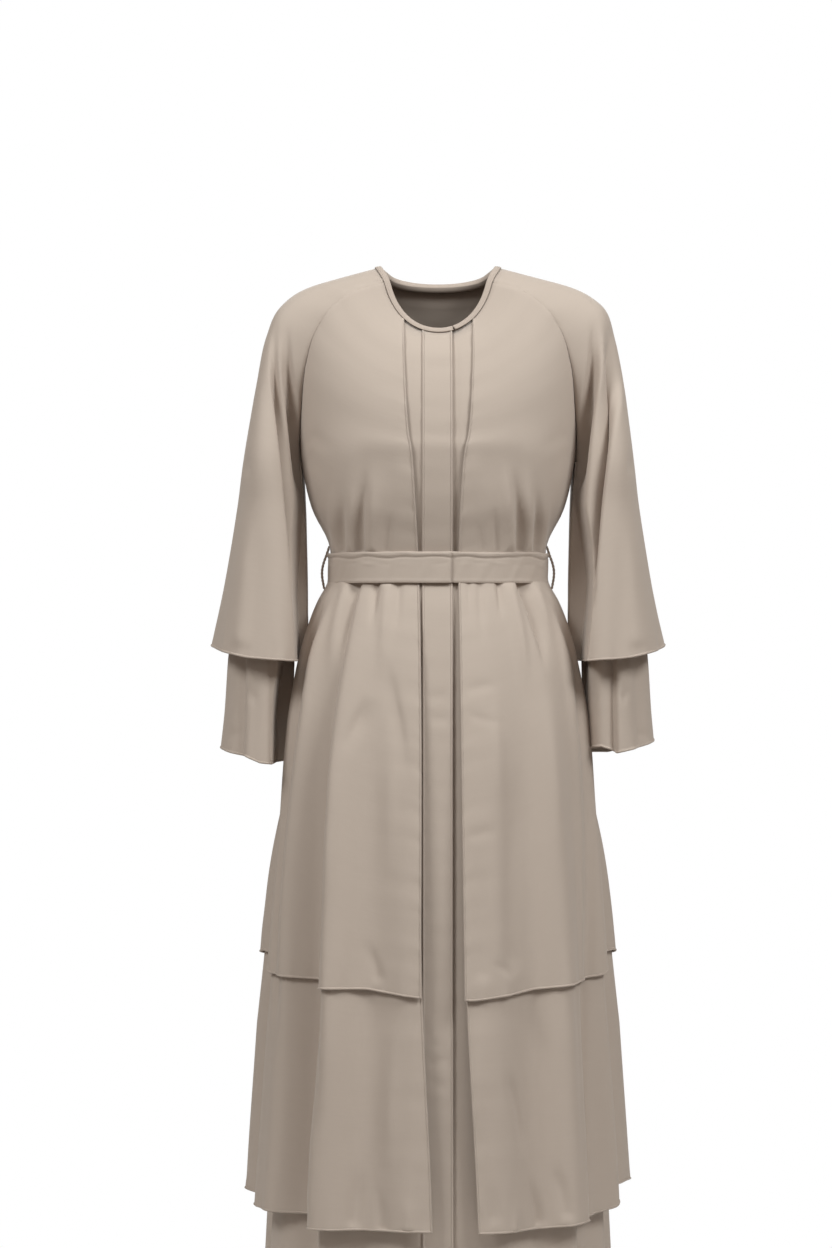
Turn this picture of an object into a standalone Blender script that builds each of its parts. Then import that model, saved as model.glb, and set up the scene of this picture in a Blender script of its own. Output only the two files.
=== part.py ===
"""Layered raglan abaya in its worn form, hollow, with nothing inside it.

A base robe with a button-stand front reaches the ankles. Over it lie two open-fronted layers, the
outer one to the knee and the middle one to the shin. The raglan sleeves have two tiers. A flat belt
closes the waist.

Metres, +Z up, -Y to the front, +X to the wearer's left. The origin is midway between the two shoulder
points beside the neck, where the wearer's shoulders carry the garment. The tables are in millimetres.
"""

import bpy
import numpy as np

MM = 0.001

# Driving dimensions, in millimetres.
CLOTH = 1.2
SEAM_GAP = 0.3
SEAM_PULL = 0.45
CREASE_PULL = 1.5
NEST = 1.7
WAIST = 376.0
UNDERARM = 240.0
OUTER_HEM = 880.0
MIDDLE_HEM = 1165.0
BASE_HEM = 1370.0
OUTER_SLEEVE_HEM = 486.0
UNDER_SLEEVE_SEAM = 350.0
UNDER_SLEEVE_HEM = 610.0
FOLD_START = 406.0
WRIST = 590.0
ARM_HOLLOW = 19.0
HEM_START = 476.0
BELT_HEIGHT = 38.0
BELT_THICKNESS = 2.4
BINDING_HEIGHT = 6.0
BINDING_EASE = 0.8
LOOP_DIAMETER = 3.0
STAND_EDGE = 17.0
STAND_WIDTH = 37.0
UNDER_FOLD_SHARE = 0.9
SLEEVE_EASE = 0.5


class Table:
    """Rows of numbers under named columns; each column is an array attribute."""

    def __init__(self, names, rows):
        for name, column in zip(names.split(), np.array(rows, float).T):
            setattr(self, name, column)
        self.rows = [dict(zip(names.split(), row)) for row in rows]


# The rows of sections that each piece is lofted through.
BODY_ROWS = np.array([20, 32, 52, 82, 122, 172, 240, 300, 338, 357, 395, 415, 465, 540, 650, 765, OUTER_HEM])
MIDDLE_ROWS = np.array([357, 395, 415, 465, 540, 650, 765, OUTER_HEM, 1020, MIDDLE_HEM])
BASE_ROWS = np.array(
    [20, 32, 52, 82, 122, 172, 240, 300, 338, 357, 395, 465, 540, 690, OUTER_HEM, 1040, 1200, BASE_HEM]
)
OUTER_SLEEVE_ROWS = np.array([20, 32, 52, 82, 122, 172, 215, 240, 300, 350, 375, 405, 445, OUTER_SLEEVE_HEM])
UNDER_SLEEVE_ROWS = np.array([UNDER_SLEEVE_SEAM, 375, 405, 450, 505, 560, UNDER_SLEEVE_HEM])

# The yoke, from the neckline to just above the underarm. A row is a section from the centre to the
# raglan seam. level is the drop of the front seam below the shoulder points. The centre point and the
# seam point are given; at the seam the section has turned back by the angle turn, and climbs there by
# rise, as a share of its whole climb.
YOKE_FRONT = Table(
    "level centre_y centre_z seam_x seam_y seam_z turn rise",
    [
        (20, -62, -84, 62, -36, -20, 62, 0.62),
        (32, -84, -108, 98, -54, -32, 48, 0.55),
        (52, -97, -134, 128, -61, -52, 42, 0.50),
        (82, -107, -160, 150, -60, -82, 44, 0.40),
        (122, -114, -188, 163, -53, -122, 54, 0.30),
        (172, -118, -214, 169, -36, -172, 72, 0.20),
    ],
)
YOKE_BACK = Table(
    "level centre_y centre_z seam_x seam_y seam_z turn rise",
    [
        (20, 58, -16, 60, 34, -8, 60, 0.50),
        (32, 84, -56, 99, 56, -33, 46, 0.45),
        (52, 97, -94, 129, 68, -64, 42, 0.40),
        (82, 103, -130, 148, 70, -102, 44, 0.35),
        (122, 105, -168, 160, 62, -144, 54, 0.30),
        (172, 104, -206, 167, 42, -190, 72, 0.20),
    ],
)

# Level sections of the outer layer from the underarm down. full shapes the corners of the section.
RINGS = Table(
    "level half_width front_depth back_depth full",
    [
        (240, 170, 120, 101, 0.60),
        (300, 158, 112, 95, 0.58),
        (338, 145, 101, 88, 0.56),
        (357, 140, 96, 86, 0.56),
        (395, 140, 96, 86, 0.56),
        (415, 151, 104, 98, 0.56),
        (465, 170, 120, 120, 0.57),
        (540, 186, 136, 140, 0.58),
        (690, 197, 154, 164, 0.58),
        (880, 208, 171, 186, 0.58),
        (1165, 227, 190, 205, 0.58),
        (1370, 240, 201, 216, 0.58),
    ],
)

# How far each layer lies inside the outer one, at some of the levels.
INSET = Table(
    "level middle base",
    [
        (20, 1.7, 1.7),
        (82, 3, 3),
        (240, 4, 4.5),
        (300, 3, 4.5),
        (350, 1.7, 3.4),
        (400, 1.7, 3.4),
        (465, 4, 8),
        (690, 6, 15),
        (880, 6, 20),
        (1165, 5, 24),
        (1370, 5, 26),
    ],
)

# Where the open front edges of the outer and middle layers run, as distances from centre front.
FRONT_EDGES = Table(
    "level outer_left outer_right middle_left middle_right",
    [
        (20, 42, -42, 42, -42),
        (172, 36, -36, 36, -36),
        (300, 26, -28, 26, -28),
        (376, 24, -24, 24, -24),
        (465, 25, -22, 26, -22),
        (880, 30, -21, 32, -20),
        (1165, 34, -20, 46, -8),
        (1370, 34, -20, 50, -8),
    ],
)

# The large soft folds of the skirt. belt and hem are the fold's place, in degrees round from centre
# front towards the wearer's left, at the belt and at the outer hem. before and after are its widths in
# degrees. out is how far it stands out at the outer hem, or falls in where it is negative.
SKIRT_FOLDS = Table(
    "belt hem before after out",
    [
        (-16, -8, 8, 9, 6),
        (-22, -24, 8, 9, -9),
        (-34, -39, 6, 13, 18),
        (-46, -49, 9, 6, -24),
        (-58, -63, 9, 10, 12),
        (-80, -77, 6, 7, 10),
        (-88, -89, 8, 8, -19),
        (-97, -104, 9, 12, 26),
        (-112, -122, 10, 9, -12),
        (-126, -138, 9, 10, 15),
        (-145, -155, 9, 9, -13),
        (-163, -172, 9, 9, 14),
        (179, 171, 9, 9, -12),
        (160, 154, 9, 9, 16),
        (142, 136, 9, 9, -14),
        (126, 121, 9, 9, 13),
        (97, 104, 12, 9, 27),
        (88, 89, 8, 8, -19),
        (80, 76, 7, 6, 10),
        (56, 62, 9, 9, -8),
        (42, 46, 9, 8, 10),
        (30, 33, 9, 8, -12),
        (14, 14, 9, 11, 9),
    ],
)

# Hem levels round the skirt, as differences from the layer's own hem level.
HEM_WAVES = Table(
    "angle outer middle",
    [
        (-180, 0, 0),
        (-120, 0, 0),
        (-90, -4, 0),
        (-50, -4, -6),
        (-42, 4, 4),
        (-24, 2, 2),
        (-7, 10, 0),
        (10, 14, 2),
        (35, 4, 4),
        (60, 0, 0),
        (90, -4, -6),
        (120, 0, -6),
        (180, 0, 0),
    ],
)

# The sleeve above the underarm. Each row is an arc from the front seam over the shoulder line's point
# (x, y, z) to the back seam. reach and angle aim the arc at the seam, in plan, and full rounds it at the
# shoulder line.
SLEEVE_CAP = Table(
    "level x y z front_reach front_angle front_full back_reach back_angle back_full",
    [
        (20, 73, 0, 0, 8, 60, 18, 8, 60, 16),
        (32, 122, -2, -14, 22, 44, 30, 22, 46, 30),
        (52, 163, -3, -27, 34, 38, 36, 34, 42, 38),
        (82, 195, -3, -50, 38, 22, 44, 40, 26, 46),
        (122, 212, 0, -88, 40, 4, 54, 42, 6, 58),
        (172, 222, 4, -148, 48, -30, 68, 50, -28, 72),
    ],
)

# The sleeve below the underarm, as level tubes: the centre (x, y), half the width across, the reach to
# the front and to the back, and the angle in degrees by which the tube's back leans towards the body.
OUTER_SLEEVE = Table(
    "level x y across front back lean",
    [
        (240, 206, 3, 33.5, 72, 74, 10),
        (300, 207, 5, 39, 76, 80, 19),
        (350, 211, 5, 42, 84, 88, 20),
        (430, 217, 5, 42.5, 95, 100, 22),
        (486, 223, 5, 43, 106, 109, 24),
    ],
)
UNDER_SLEEVE = Table(
    "level x y across front back lean",
    [
        (400, 216, 4, 31, 61, 66, 19),
        (486, 223, 2, 34, 67, 69, 18),
        (560, 225, 0, 35, 66, 68, 14),
        (615, 228, 0, 37, 67, 69, 13),
    ],
)

# Sleeve folds. top and hem are the fold's place high on the sleeve and at its hem, as a share of the way
# round: 0 at the underarm, 0.25 at the front, 0.5 outside. before and after are widths in the same
# measure, and out is how far the fold stands out at the hem.
SLEEVE_FOLDS = Table(
    "top hem before after out",
    [
        (0.10, 0.09, 0.05, 0.04, 8),
        (0.165, 0.15, 0.04, 0.035, -15),
        (0.24, 0.225, 0.035, 0.07, 10),
        (0.36, 0.37, 0.06, 0.05, -6),
        (0.47, 0.47, 0.05, 0.06, 6),
        (0.60, 0.60, 0.05, 0.05, -7),
        (0.70, 0.71, 0.06, 0.05, 9),
        (0.82, 0.83, 0.05, 0.05, -9),
    ],
)
SLEEVE_HEM_WAVES = Table(
    "along outer under",
    [
        (0.0, 4, 4),
        (0.15, 5, 6),
        (0.25, 2, 4),
        (0.5, -13, -10),
        (0.62, -8, -8),
        (0.8, 2, 0),
        (1.0, 4, 4),
    ],
)


def along(knots, values, level):
    """Smooth cubic through values[k] at knots[k], read at each element of level.

    The slope at a knot is the second-order difference of its neighbours.
    """
    knots = np.asarray(knots, float)
    level = np.asarray(level, float)
    slopes = np.gradient(values, knots, axis=0)
    span = np.clip(np.searchsorted(knots, level, side="right") - 1, 0, len(knots) - 2)
    width = knots[span + 1] - knots[span]
    t = (level - knots[span]) / width

    def pick(source, index):
        if source.ndim == 1:
            return source[index]
        chosen = index.reshape((1,) + index.shape + (1,) * (source.ndim - 1 - index.ndim))
        return np.take_along_axis(source, chosen, axis=0)[0]

    if values.ndim > 1:
        t, width = t[..., None], width[..., None]
    start, end = pick(values, span), pick(values, span + 1)
    leave, arrive = pick(slopes, span) * width, pick(slopes, span + 1) * width
    return (
        (2 * t**3 - 3 * t**2 + 1) * start
        + (t**3 - 2 * t**2 + t) * leave
        + (3 * t**2 - 2 * t**3) * end
        + (t**3 - t**2) * arrive
    )


def column(table, name, level):
    """One column of a table, read smoothly at level."""
    return along(table.level, getattr(table, name), level)


def bezier(p0, p1, p2, p3, t):
    """Points and derivatives of cubic arcs, one arc for each leading index, at t."""
    t = t[None, ..., None]
    shape = (len(p0),) + (1,) * (t.ndim - 2) + (3,)
    p0, p1, p2, p3 = (p.reshape(shape) for p in (p0, p1, p2, p3))
    s = 1 - t
    point = s**3 * p0 + 3 * s**2 * t * p1 + 3 * s * t**2 * p2 + t**3 * p3
    slope = 3 * s**2 * (p1 - p0) + 6 * s * t * (p2 - p1) + 3 * t**2 * (p3 - p2)
    return point, slope


def stack(*columns):
    return np.stack(np.broadcast_arrays(*[np.asarray(c, float) for c in columns]), axis=-1)


def unit(vectors):
    return vectors / np.linalg.norm(vectors, axis=-1, keepdims=True)


def body_arcs(yoke, ring_depth, facing):
    """Four control points of each section of one quarter of the body, from the centre to the seam or side."""
    centre = stack(0, yoke.centre_y, yoke.centre_z)
    seam = stack(yoke.seam_x, yoke.seam_y, yoke.seam_z)
    turn = np.radians(yoke.turn)
    reach = 0.55 * np.abs(yoke.centre_y - yoke.seam_y) / np.sin(turn)
    first = centre + stack(0.5 * yoke.seam_x, 0, 0)
    climb = yoke.rise * (yoke.seam_z - yoke.centre_z)
    last = seam - stack(reach * np.cos(turn), -facing * reach * np.sin(turn), climb)
    ring_centre = stack(0, facing * ring_depth, -RINGS.level)
    ring_side = stack(RINGS.half_width, 0, -RINGS.level)
    ring_first = ring_centre + stack(RINGS.full * RINGS.half_width, 0, 0)
    ring_last = ring_side + stack(0, facing * RINGS.full * ring_depth, 0)
    return [
        np.concatenate(pair)
        for pair in ((centre, ring_centre), (first, ring_first), (last, ring_last), (seam, ring_side))
    ]


BODY_LEVELS = np.concatenate([YOKE_FRONT.level, RINGS.level])
FRONT_ARCS = body_arcs(YOKE_FRONT, RINGS.front_depth, -1)
BACK_ARCS = body_arcs(YOKE_BACK, RINGS.back_depth, 1)


def bump(distance, before, after):
    """A soft ridge, 1 at its crest, with its own width on each side."""
    width = np.where(distance < 0, before, after)
    return np.exp(-((distance / width) ** 2))


def fold_growth(level):
    """How far a fold has grown: nothing at the belt, 1 at the outer hem, a little more at the lower hems."""
    return np.clip((level - FOLD_START) / (OUTER_HEM - FOLD_START), 0, 1.15)


def fold_place(belt, hem, level):
    """Where a fold's crest is at this level, in degrees."""
    turned = (hem - belt + 180) % 360 - 180
    return belt + turned * np.minimum(fold_growth(level), 1) ** 0.6


def skirt_folds(level, angle):
    """How far the cloth stands out from its plain form."""
    total = np.zeros(np.broadcast(level, angle).shape)
    for fold in SKIRT_FOLDS.rows:
        distance = (angle - fold_place(fold["belt"], fold["hem"], level) + 180) % 360 - 180
        total += fold["out"] * bump(distance, fold["before"], fold["after"])
    return total * fold_growth(level) ** 0.9


def arm_hollow(level, angle):
    """The hanging arm keeps the skirt back beside the hip."""
    beside = bump(np.abs(angle) - 92, 9, 30)
    return -ARM_HOLLOW * beside * np.exp(-(((level - WRIST) / 115) ** 2))


class Layer:
    """How a layer lies in the garment: how far inside the outer form, and how much of the folds it takes."""

    def __init__(self, inset, fold_share=1.0):
        self.inset = inset
        self.fold_share = fold_share

    def moved_in(self, distance):
        """The same layer, this much further in, or further out where the distance is negative."""
        return Layer(lambda level: self.inset(level) + distance, self.fold_share)


OUTER = Layer(lambda level: np.zeros(np.shape(level)))
MIDDLE = Layer(lambda level: column(INSET, "middle", level))
BASE = Layer(lambda level: column(INSET, "base", level), 0.6)
UNDER_STAND = BASE.moved_in(NEST + 0.4)
STAND = BASE.moved_in(-NEST)


def body(level, angle, back, layer):
    """Points of the body at level, at angle degrees round from centre front, positive to the wearer's left.

    Each point is on the plain section, moved along its normal by the folds and by the layer's inset.
    """
    level, angle = np.broadcast_arrays(np.asarray(level, float), np.asarray(angle, float))
    angle = (angle + 180) % 360 - 180
    side = np.where(angle < 0, -1.0, 1.0)
    turn = np.abs(angle) / 90
    share, arcs = (2 - turn, BACK_ARCS) if back else (turn, FRONT_ARCS)

    def plain(at):
        points, slopes = bezier(*arcs, share)
        return along(BODY_LEVELS, points, at), along(BODY_LEVELS, slopes, at)

    point, around = plain(level)
    down = plain(level + 0.5)[0] - plain(level - 0.5)[0]
    normal = unit(np.cross(around, down) if back else np.cross(down, around))
    out = layer.fold_share * skirt_folds(level, angle) + arm_hollow(level, angle) - layer.inset(level)
    moved = point + normal * out[..., None]
    moved[..., 0] *= side
    return moved


def angle_at_x(levels, x, layer):
    """The angle at which the front lies at this distance from centre front, one for each level."""
    tries = np.linspace(-75, 75, 301)
    found = body(np.repeat(levels[:, None], len(tries), 1), tries[None, :], False, layer)[..., 0]
    wanted = np.broadcast_to(x, levels.shape)
    return np.array([np.interp(where, row, tries) for where, row in zip(wanted, found)])


def drop_to_hem(levels, hem, start, wave):
    """Spread the rows below start so that the last one follows the hem's waves."""
    share = np.clip((levels - start) / (levels[-1] - start), 0, 1)
    return levels[:, None] + share[:, None] * (hem - levels[-1] + wave)


def seam_angle(levels, layer, back):
    """Just short of the side or raglan seam; further short of it in the crease near the underarm."""
    pull = np.interp(levels, [82, 140, 236, 300], [SEAM_PULL, CREASE_PULL, CREASE_PULL, SEAM_PULL])
    inward = 1 if back else -1
    far = np.full(len(levels), 90.0)
    gap = np.linalg.norm(body(levels, far, back, layer) - body(levels, far + inward, back, layer), axis=-1)
    return 90 + inward * pull / gap


def fold_columns(start, end, halfway):
    """The crests and valleys between two angles, in order round, as (belt, hem) pairs.

    halfway adds the places between them.
    """
    around = [(fold["belt"] % 360, fold["hem"] % 360) for fold in SKIRT_FOLDS.rows]
    if start < 0 or end < 0:
        around = [tuple(a - 360 if a > 180 else a for a in pair) for pair in around]
    low, high = min(start, end), max(start, end)
    inside = sorted(pair for pair in around if low < pair[1] < high)
    if halfway:
        limits = [(low, low), *inside, (high, high)]
        inside += [tuple(np.add(a, b) / 2) for a, b in zip(limits, limits[1:]) if b[1] - a[1] > 9]
    return sorted(inside, reverse=start > end)


def panel_angles(levels, first, last, columns):
    """Angles of a panel's grid: from its first edge to its last, following the folds between them."""
    grow = np.minimum(fold_growth(levels), 1) ** 0.6
    share = [np.zeros(len(levels))]
    for belt, hem in columns:
        ends = []
        for place, level in ((belt, WAIST), (hem, OUTER_HEM)):
            a, b = np.interp(level, levels, first), np.interp(level, levels, last)
            ends.append((place - a) / (b - a))
        share.append(ends[0] + (ends[1] - ends[0]) * grow)
    share.append(np.ones(len(levels)))
    return first[:, None] + (last - first)[:, None] * np.stack(share, axis=1)


def edge_angles(levels, name, layer):
    return angle_at_x(levels, column(FRONT_EDGES, name, levels), layer)


def hem_wave(name, angle):
    return np.interp((angle + 180) % 360 - 180, HEM_WAVES.angle, getattr(HEM_WAVES, name))


def sleeve_keys():
    """Control points of the two arcs, front and back, of each section of the left sleeve."""
    seam_f = stack(YOKE_FRONT.seam_x, YOKE_FRONT.seam_y, YOKE_FRONT.seam_z)
    seam_b = stack(YOKE_BACK.seam_x, YOKE_BACK.seam_y, YOKE_BACK.seam_z)
    cap = SLEEVE_CAP
    top = stack(cap.x, cap.y, cap.z)
    af, ab = np.radians(cap.front_angle), np.radians(cap.back_angle)
    lift_f = 0.4 * (top[:, 2] - seam_f[:, 2])
    lift_b = 0.4 * (top[:, 2] - seam_b[:, 2])
    front = [
        seam_f,
        seam_f + stack(cap.front_reach * np.cos(af), cap.front_reach * np.sin(af), lift_f),
        top + stack(0, -cap.front_full, 0),
        top,
    ]
    rear = [
        top,
        top + stack(0, cap.back_full, 0),
        seam_b + stack(cap.back_reach * np.cos(ab), -cap.back_reach * np.sin(ab), lift_b),
        seam_b,
    ]
    return front, rear


def tube_keys(table):
    """The same control points for level tubes, each a slightly egg-shaped oval that leans."""
    lean = np.radians(table.lean)
    outward = stack(np.cos(lean), np.sin(lean), 0)
    forward = stack(np.sin(lean), -np.cos(lean), 0)
    centre = stack(table.x, table.y, -table.level)
    inner, outer = centre - table.across[:, None] * outward, centre + table.across[:, None] * outward
    ahead, behind = 4 / 3 * table.front[:, None] * forward, -4 / 3 * table.back[:, None] * forward
    return [inner, inner + ahead, outer + ahead, outer], [outer, outer + behind, inner + behind, inner]


def joined(upper, lower):
    return [[np.concatenate(pair) for pair in zip(a, b)] for a, b in zip(upper, lower)]


OUTER_SLEEVE_LEVELS = np.concatenate([SLEEVE_CAP.level, OUTER_SLEEVE.level])
OUTER_SLEEVE_KEYS = joined(sleeve_keys(), tube_keys(OUTER_SLEEVE))


def sleeve_folds(level, share, hem):
    """How far the sleeve's long folds stand out: nothing on the shoulder, all of it at the hem."""
    grow = np.clip((level - 110) / (hem - 110), 0, 1.1)
    total = np.zeros(np.broadcast(level, share).shape)
    for fold in SLEEVE_FOLDS.rows:
        place = fold["top"] + (fold["hem"] - fold["top"]) * grow
        total += fold["out"] * grow * bump(share - place, fold["before"], fold["after"])
    return total


def sleeve(known, keys, level, share, hem, fold_size, inset):
    """Points of the left sleeve at level, at share of the way round from the underarm by the front and back.

    known and keys are the levels and the control points of the sections it is lofted through.
    """
    level, share = np.broadcast_arrays(np.asarray(level, float), np.asarray(share, float))
    in_front = (share <= 0.5)[..., None]

    def plain(at):
        both = []
        for arc, t in zip(keys, (np.clip(2 * share, 0, 1), np.clip(2 * share - 1, 0, 1))):
            points, slopes = bezier(*arc, t)
            both.append((along(known, points, at), along(known, slopes, at)))
        return [np.where(in_front, front, rear) for front, rear in zip(*both)]

    point, around = plain(level)
    down = plain(level + 0.5)[0] - plain(level - 0.5)[0]
    normal = unit(np.cross(down, around))
    out = fold_size * sleeve_folds(level, share, hem) - inset
    return point + normal * out[..., None]


def outer_sleeve(level, share, fold_size=1, inset=0):
    return sleeve(OUTER_SLEEVE_LEVELS, OUTER_SLEEVE_KEYS, level, share, OUTER_SLEEVE_HEM, fold_size, inset)


def sleeve_columns(levels, hem):
    """Shares at each fold's crest and halfway between crests, row by row."""
    grow = np.clip((levels - 110) / (hem - 110), 0, 1.1)[:, None]
    top = np.concatenate([[0], SLEEVE_FOLDS.top, [1]])
    low = np.concatenate([[0], SLEEVE_FOLDS.hem, [1]])
    crest = top + (low - top) * grow
    both = np.zeros((len(levels), 2 * crest.shape[1] - 1))
    both[:, ::2] = crest
    both[:, 1::2] = (crest[:, 1:] + crest[:, :-1]) / 2
    return both


def sleeve_wave(name, share):
    return np.interp(share, SLEEVE_HEM_WAVES.along, getattr(SLEEVE_HEM_WAVES, name))


def outer_sleeve_points(levels):
    """Open arcs down to the underarm, which stop short of the raglan seam, and closed tubes below it."""
    share = sleeve_columns(levels, OUTER_SLEEVE_HEM)
    ends = outer_sleeve(levels[:, None], np.array([[0, 0.01, 0.99, 1]]), 0)
    pull = np.interp(levels, [82, 140, 239, 240], [SEAM_PULL, CREASE_PULL, CREASE_PULL, 0])
    near = 0.01 * pull / np.linalg.norm(ends[:, 1] - ends[:, 0], axis=-1)
    far = 0.01 * pull / np.linalg.norm(ends[:, 3] - ends[:, 2], axis=-1)
    share = near[:, None] + (1 - near - far)[:, None] * share
    level = drop_to_hem(levels, OUTER_SLEEVE_HEM, UNDER_SLEEVE_SEAM, sleeve_wave("outer", share))
    return outer_sleeve(level, share)


def under_sleeve_points(levels):
    """The lower tier: its top edge is sewn inside the outer sleeve, and it leaves it as that flares."""
    share = sleeve_columns(levels, OUTER_SLEEVE_HEM)
    spread = share[:1]
    top_levels = np.array([[levels[0] - 20], [levels[0]]])
    top = outer_sleeve(top_levels, spread, 1, NEST + SLEEVE_EASE)
    table = UNDER_SLEEVE
    low_levels = table.level[:, None]
    low = sleeve(table.level, tube_keys(table), low_levels, spread, OUTER_SLEEVE_HEM, UNDER_FOLD_SHARE, 0)
    knots = np.concatenate([top_levels.ravel(), table.level])
    level = drop_to_hem(levels, UNDER_SLEEVE_HEM, OUTER_SLEEVE_HEM, sleeve_wave("under", share))
    keys = np.concatenate([top, low])[:, None]
    return along(knots, np.broadcast_to(keys, (len(knots), *level.shape, 3)), level)


def mirrored(points):
    return (points * (-1, 1, 1))[:, ::-1]


def material(name, colour, roughness):
    made = bpy.data.materials.new(name)
    made.use_nodes = True
    shader = made.node_tree.nodes["Principled BSDF"]
    shader.inputs["Base Color"].default_value = (*colour, 1)
    shader.inputs["Roughness"].default_value = roughness
    shader.inputs["Metallic"].default_value = 0
    return made


def mesh_object(name, vertices, faces, finish):
    mesh = bpy.data.meshes.new(name)
    mesh.from_pydata((np.asarray(vertices) * MM).tolist(), [], faces)
    mesh.materials.append(finish)
    mesh.shade_smooth()
    made = bpy.data.objects.new(name, mesh)
    PARTS.objects.link(made)
    return made


def sheet_faces(rows, columns):
    """Quads of a grid, wound to face the side that down cross along points to."""
    corner = np.arange((rows - 1) * columns).reshape(rows - 1, columns)[:, :-1].ravel()
    return np.stack([corner, corner + columns, corner + columns + 1, corner + 1], axis=1).tolist()


def weld(made):
    """Closes a tube whose first and last columns meet."""
    modifier = made.modifiers.new("Underarm seam", "WELD")
    modifier.merge_threshold = 0.00002


def facing_out(points):
    """The same grid, its columns reversed if its faces would point to the middle."""
    row, place = (len(points) - 1) // 2, (points.shape[1] - 1) // 2
    middle = points[row, place]
    across = points[row, place + 1] - middle
    down = points[row + 1, place] - middle
    return points if np.dot(np.cross(down, across), middle * (1, 1, 0)) > 0 else points[:, ::-1]


def cloth(name, points, finish, tube=False, thickness=CLOTH):
    """A wall of cloth: a lofted sheet through the given sections, thickened evenly to both sides."""
    rows, columns, _ = points.shape
    made = mesh_object(name, points.reshape(-1, 3), sheet_faces(rows, columns), finish)
    if tube:
        weld(made)
    wall = made.modifiers.new("Cloth thickness", "SOLIDIFY")
    wall.thickness = thickness * MM
    wall.offset = 0


def panel(name, levels, angles, back, layer, hem, wave, finish):
    """One cut piece of the body, through its rows of angles, its last row on the hem."""
    level = drop_to_hem(levels, hem, HEM_START, wave(angles))
    cloth(name, facing_out(body(level, angles, back, layer)), finish)


def back_angles(levels, layer, halfway):
    seam = seam_angle(levels, layer, True)
    return panel_angles(levels, seam, 360 - seam, fold_columns(94, 266, halfway))


def make_open_layer(name, levels, layer, hem, finish):
    """An open-fronted layer: two fronts and a back, sewn at the side and raglan seams."""

    def wave(angle):
        return hem_wave(name, angle)

    seam = seam_angle(levels, layer, False)
    for side, sign in (("left", 1), ("right", -1)):
        edge = edge_angles(levels, name + "_" + side, layer)
        angles = panel_angles(levels, edge, sign * seam, fold_columns(sign * 7, sign * 84, True))
        panel(name + "_front_" + side, levels, angles, False, layer, hem, wave, finish)
    panel(name + "_back", levels, back_angles(levels, layer, True), True, layer, hem, wave, finish)


def make_base(finish):
    """The closed robe: the right front laps over the left one at centre front, under the button stand."""

    def flat(angle):
        return np.zeros(np.shape(angle))

    levels = BASE_ROWS
    seam = seam_angle(levels, BASE, False)
    places = np.linspace(STAND_EDGE, STAND_EDGE - STAND_WIDTH, 4)
    strip = np.stack([angle_at_x(levels, x, BASE) for x in places], axis=1)
    rest = panel_angles(levels, strip[:, -1], -seam, fold_columns(-20, -84, False))
    right = np.concatenate([strip[:, :-1], rest], axis=1)
    panel("base_front_right", levels, right, False, BASE, BASE_HEM, flat, finish)
    panel("base_back", levels, back_angles(levels, BASE, False), True, BASE, BASE_HEM, flat, finish)

    raised = angle_at_x(levels, places[0], STAND)[:, None] + (strip - strip[:, :1])
    level = np.repeat(levels[:, None], 4, 1)
    level[0] += BINDING_HEIGHT
    cloth("button_stand", facing_out(body(level, raised, False, STAND)), finish)

    under = np.stack([angle_at_x(levels, x, BASE) for x in (places[-1] + 6, 0, STAND_EDGE + 3)], axis=1)
    rest = panel_angles(levels, angle_at_x(levels, STAND_EDGE + 14, BASE), seam, fold_columns(12, 84, False))
    left = np.concatenate([under, rest], axis=1)
    points = body(np.broadcast_to(levels[:, None], left.shape), left, False, BASE)
    points[:, :3] = body(np.broadcast_to(levels[:, None], under.shape), under, False, UNDER_STAND)
    cloth("base_front_left", facing_out(points), finish)


def make_sleeves(finish):
    outer = outer_sleeve_points(OUTER_SLEEVE_ROWS)
    under = under_sleeve_points(UNDER_SLEEVE_ROWS)
    for side, turn in (("left", lambda points: points), ("right", mirrored)):
        cloth("outer_sleeve_" + side, turn(outer), finish, tube=True)
        cloth("under_sleeve_" + side, turn(under), finish, tube=True)


def make_belt(finish):
    """A flat band. It runs once round and laps over its own start at the front."""
    start, end, step = -38.0, 366.0, 6.0
    turn = np.linspace(start, end, round((end - start) / step) + 1)
    lift = np.interp(turn, [302, 318], [0, BELT_THICKNESS + 0.6])
    stand = CLOTH / 2 + SEAM_GAP + 0.4 + BELT_THICKNESS / 2
    level = WAIST - BELT_HEIGHT / 2
    ring = [
        body(np.array([level]), np.array([a]), 90 < a < 270, OUTER.moved_in(-stand - up))[0]
        for a, up in zip(turn, lift)
    ]
    grid = np.stack([ring, ring])
    grid[..., 2] = -WAIST + BELT_HEIGHT / 2 * np.array([[1], [-1]])
    cloth("belt", facing_out(grid), finish, thickness=BELT_THICKNESS)


def make_belt_loops(finish):
    """Thread loops at the side seams; the belt passes through them."""
    for side, sign in (("left", 1), ("right", -1)):
        drop = np.linspace(0, 1, 11)
        level = WAIST - BELT_HEIGHT / 2 - 12 + (BELT_HEIGHT + 24) * drop
        skin = body(level, np.full(len(drop), 90.0), False, OUTER)
        out = CLOTH / 2 + LOOP_DIAMETER / 2 + 0.4 + 8 * np.sin(np.pi * drop) ** 0.7
        route = (skin + out[:, None] * np.array([1, 0, 0])) * (sign, 1, 1)
        curve = bpy.data.curves.new("belt_loop_" + side, "CURVE")
        curve.dimensions = "3D"
        curve.bevel_depth = LOOP_DIAMETER / 2 * MM
        curve.bevel_resolution = 1
        curve.use_fill_caps = True
        spline = curve.splines.new("POLY")
        spline.points.add(len(route) - 1)
        for point, place in zip(spline.points, route * MM):
            point.co = (*place, 1)
        curve.materials.append(finish)
        PARTS.objects.link(bpy.data.objects.new("belt_loop_" + side, curve))


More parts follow.
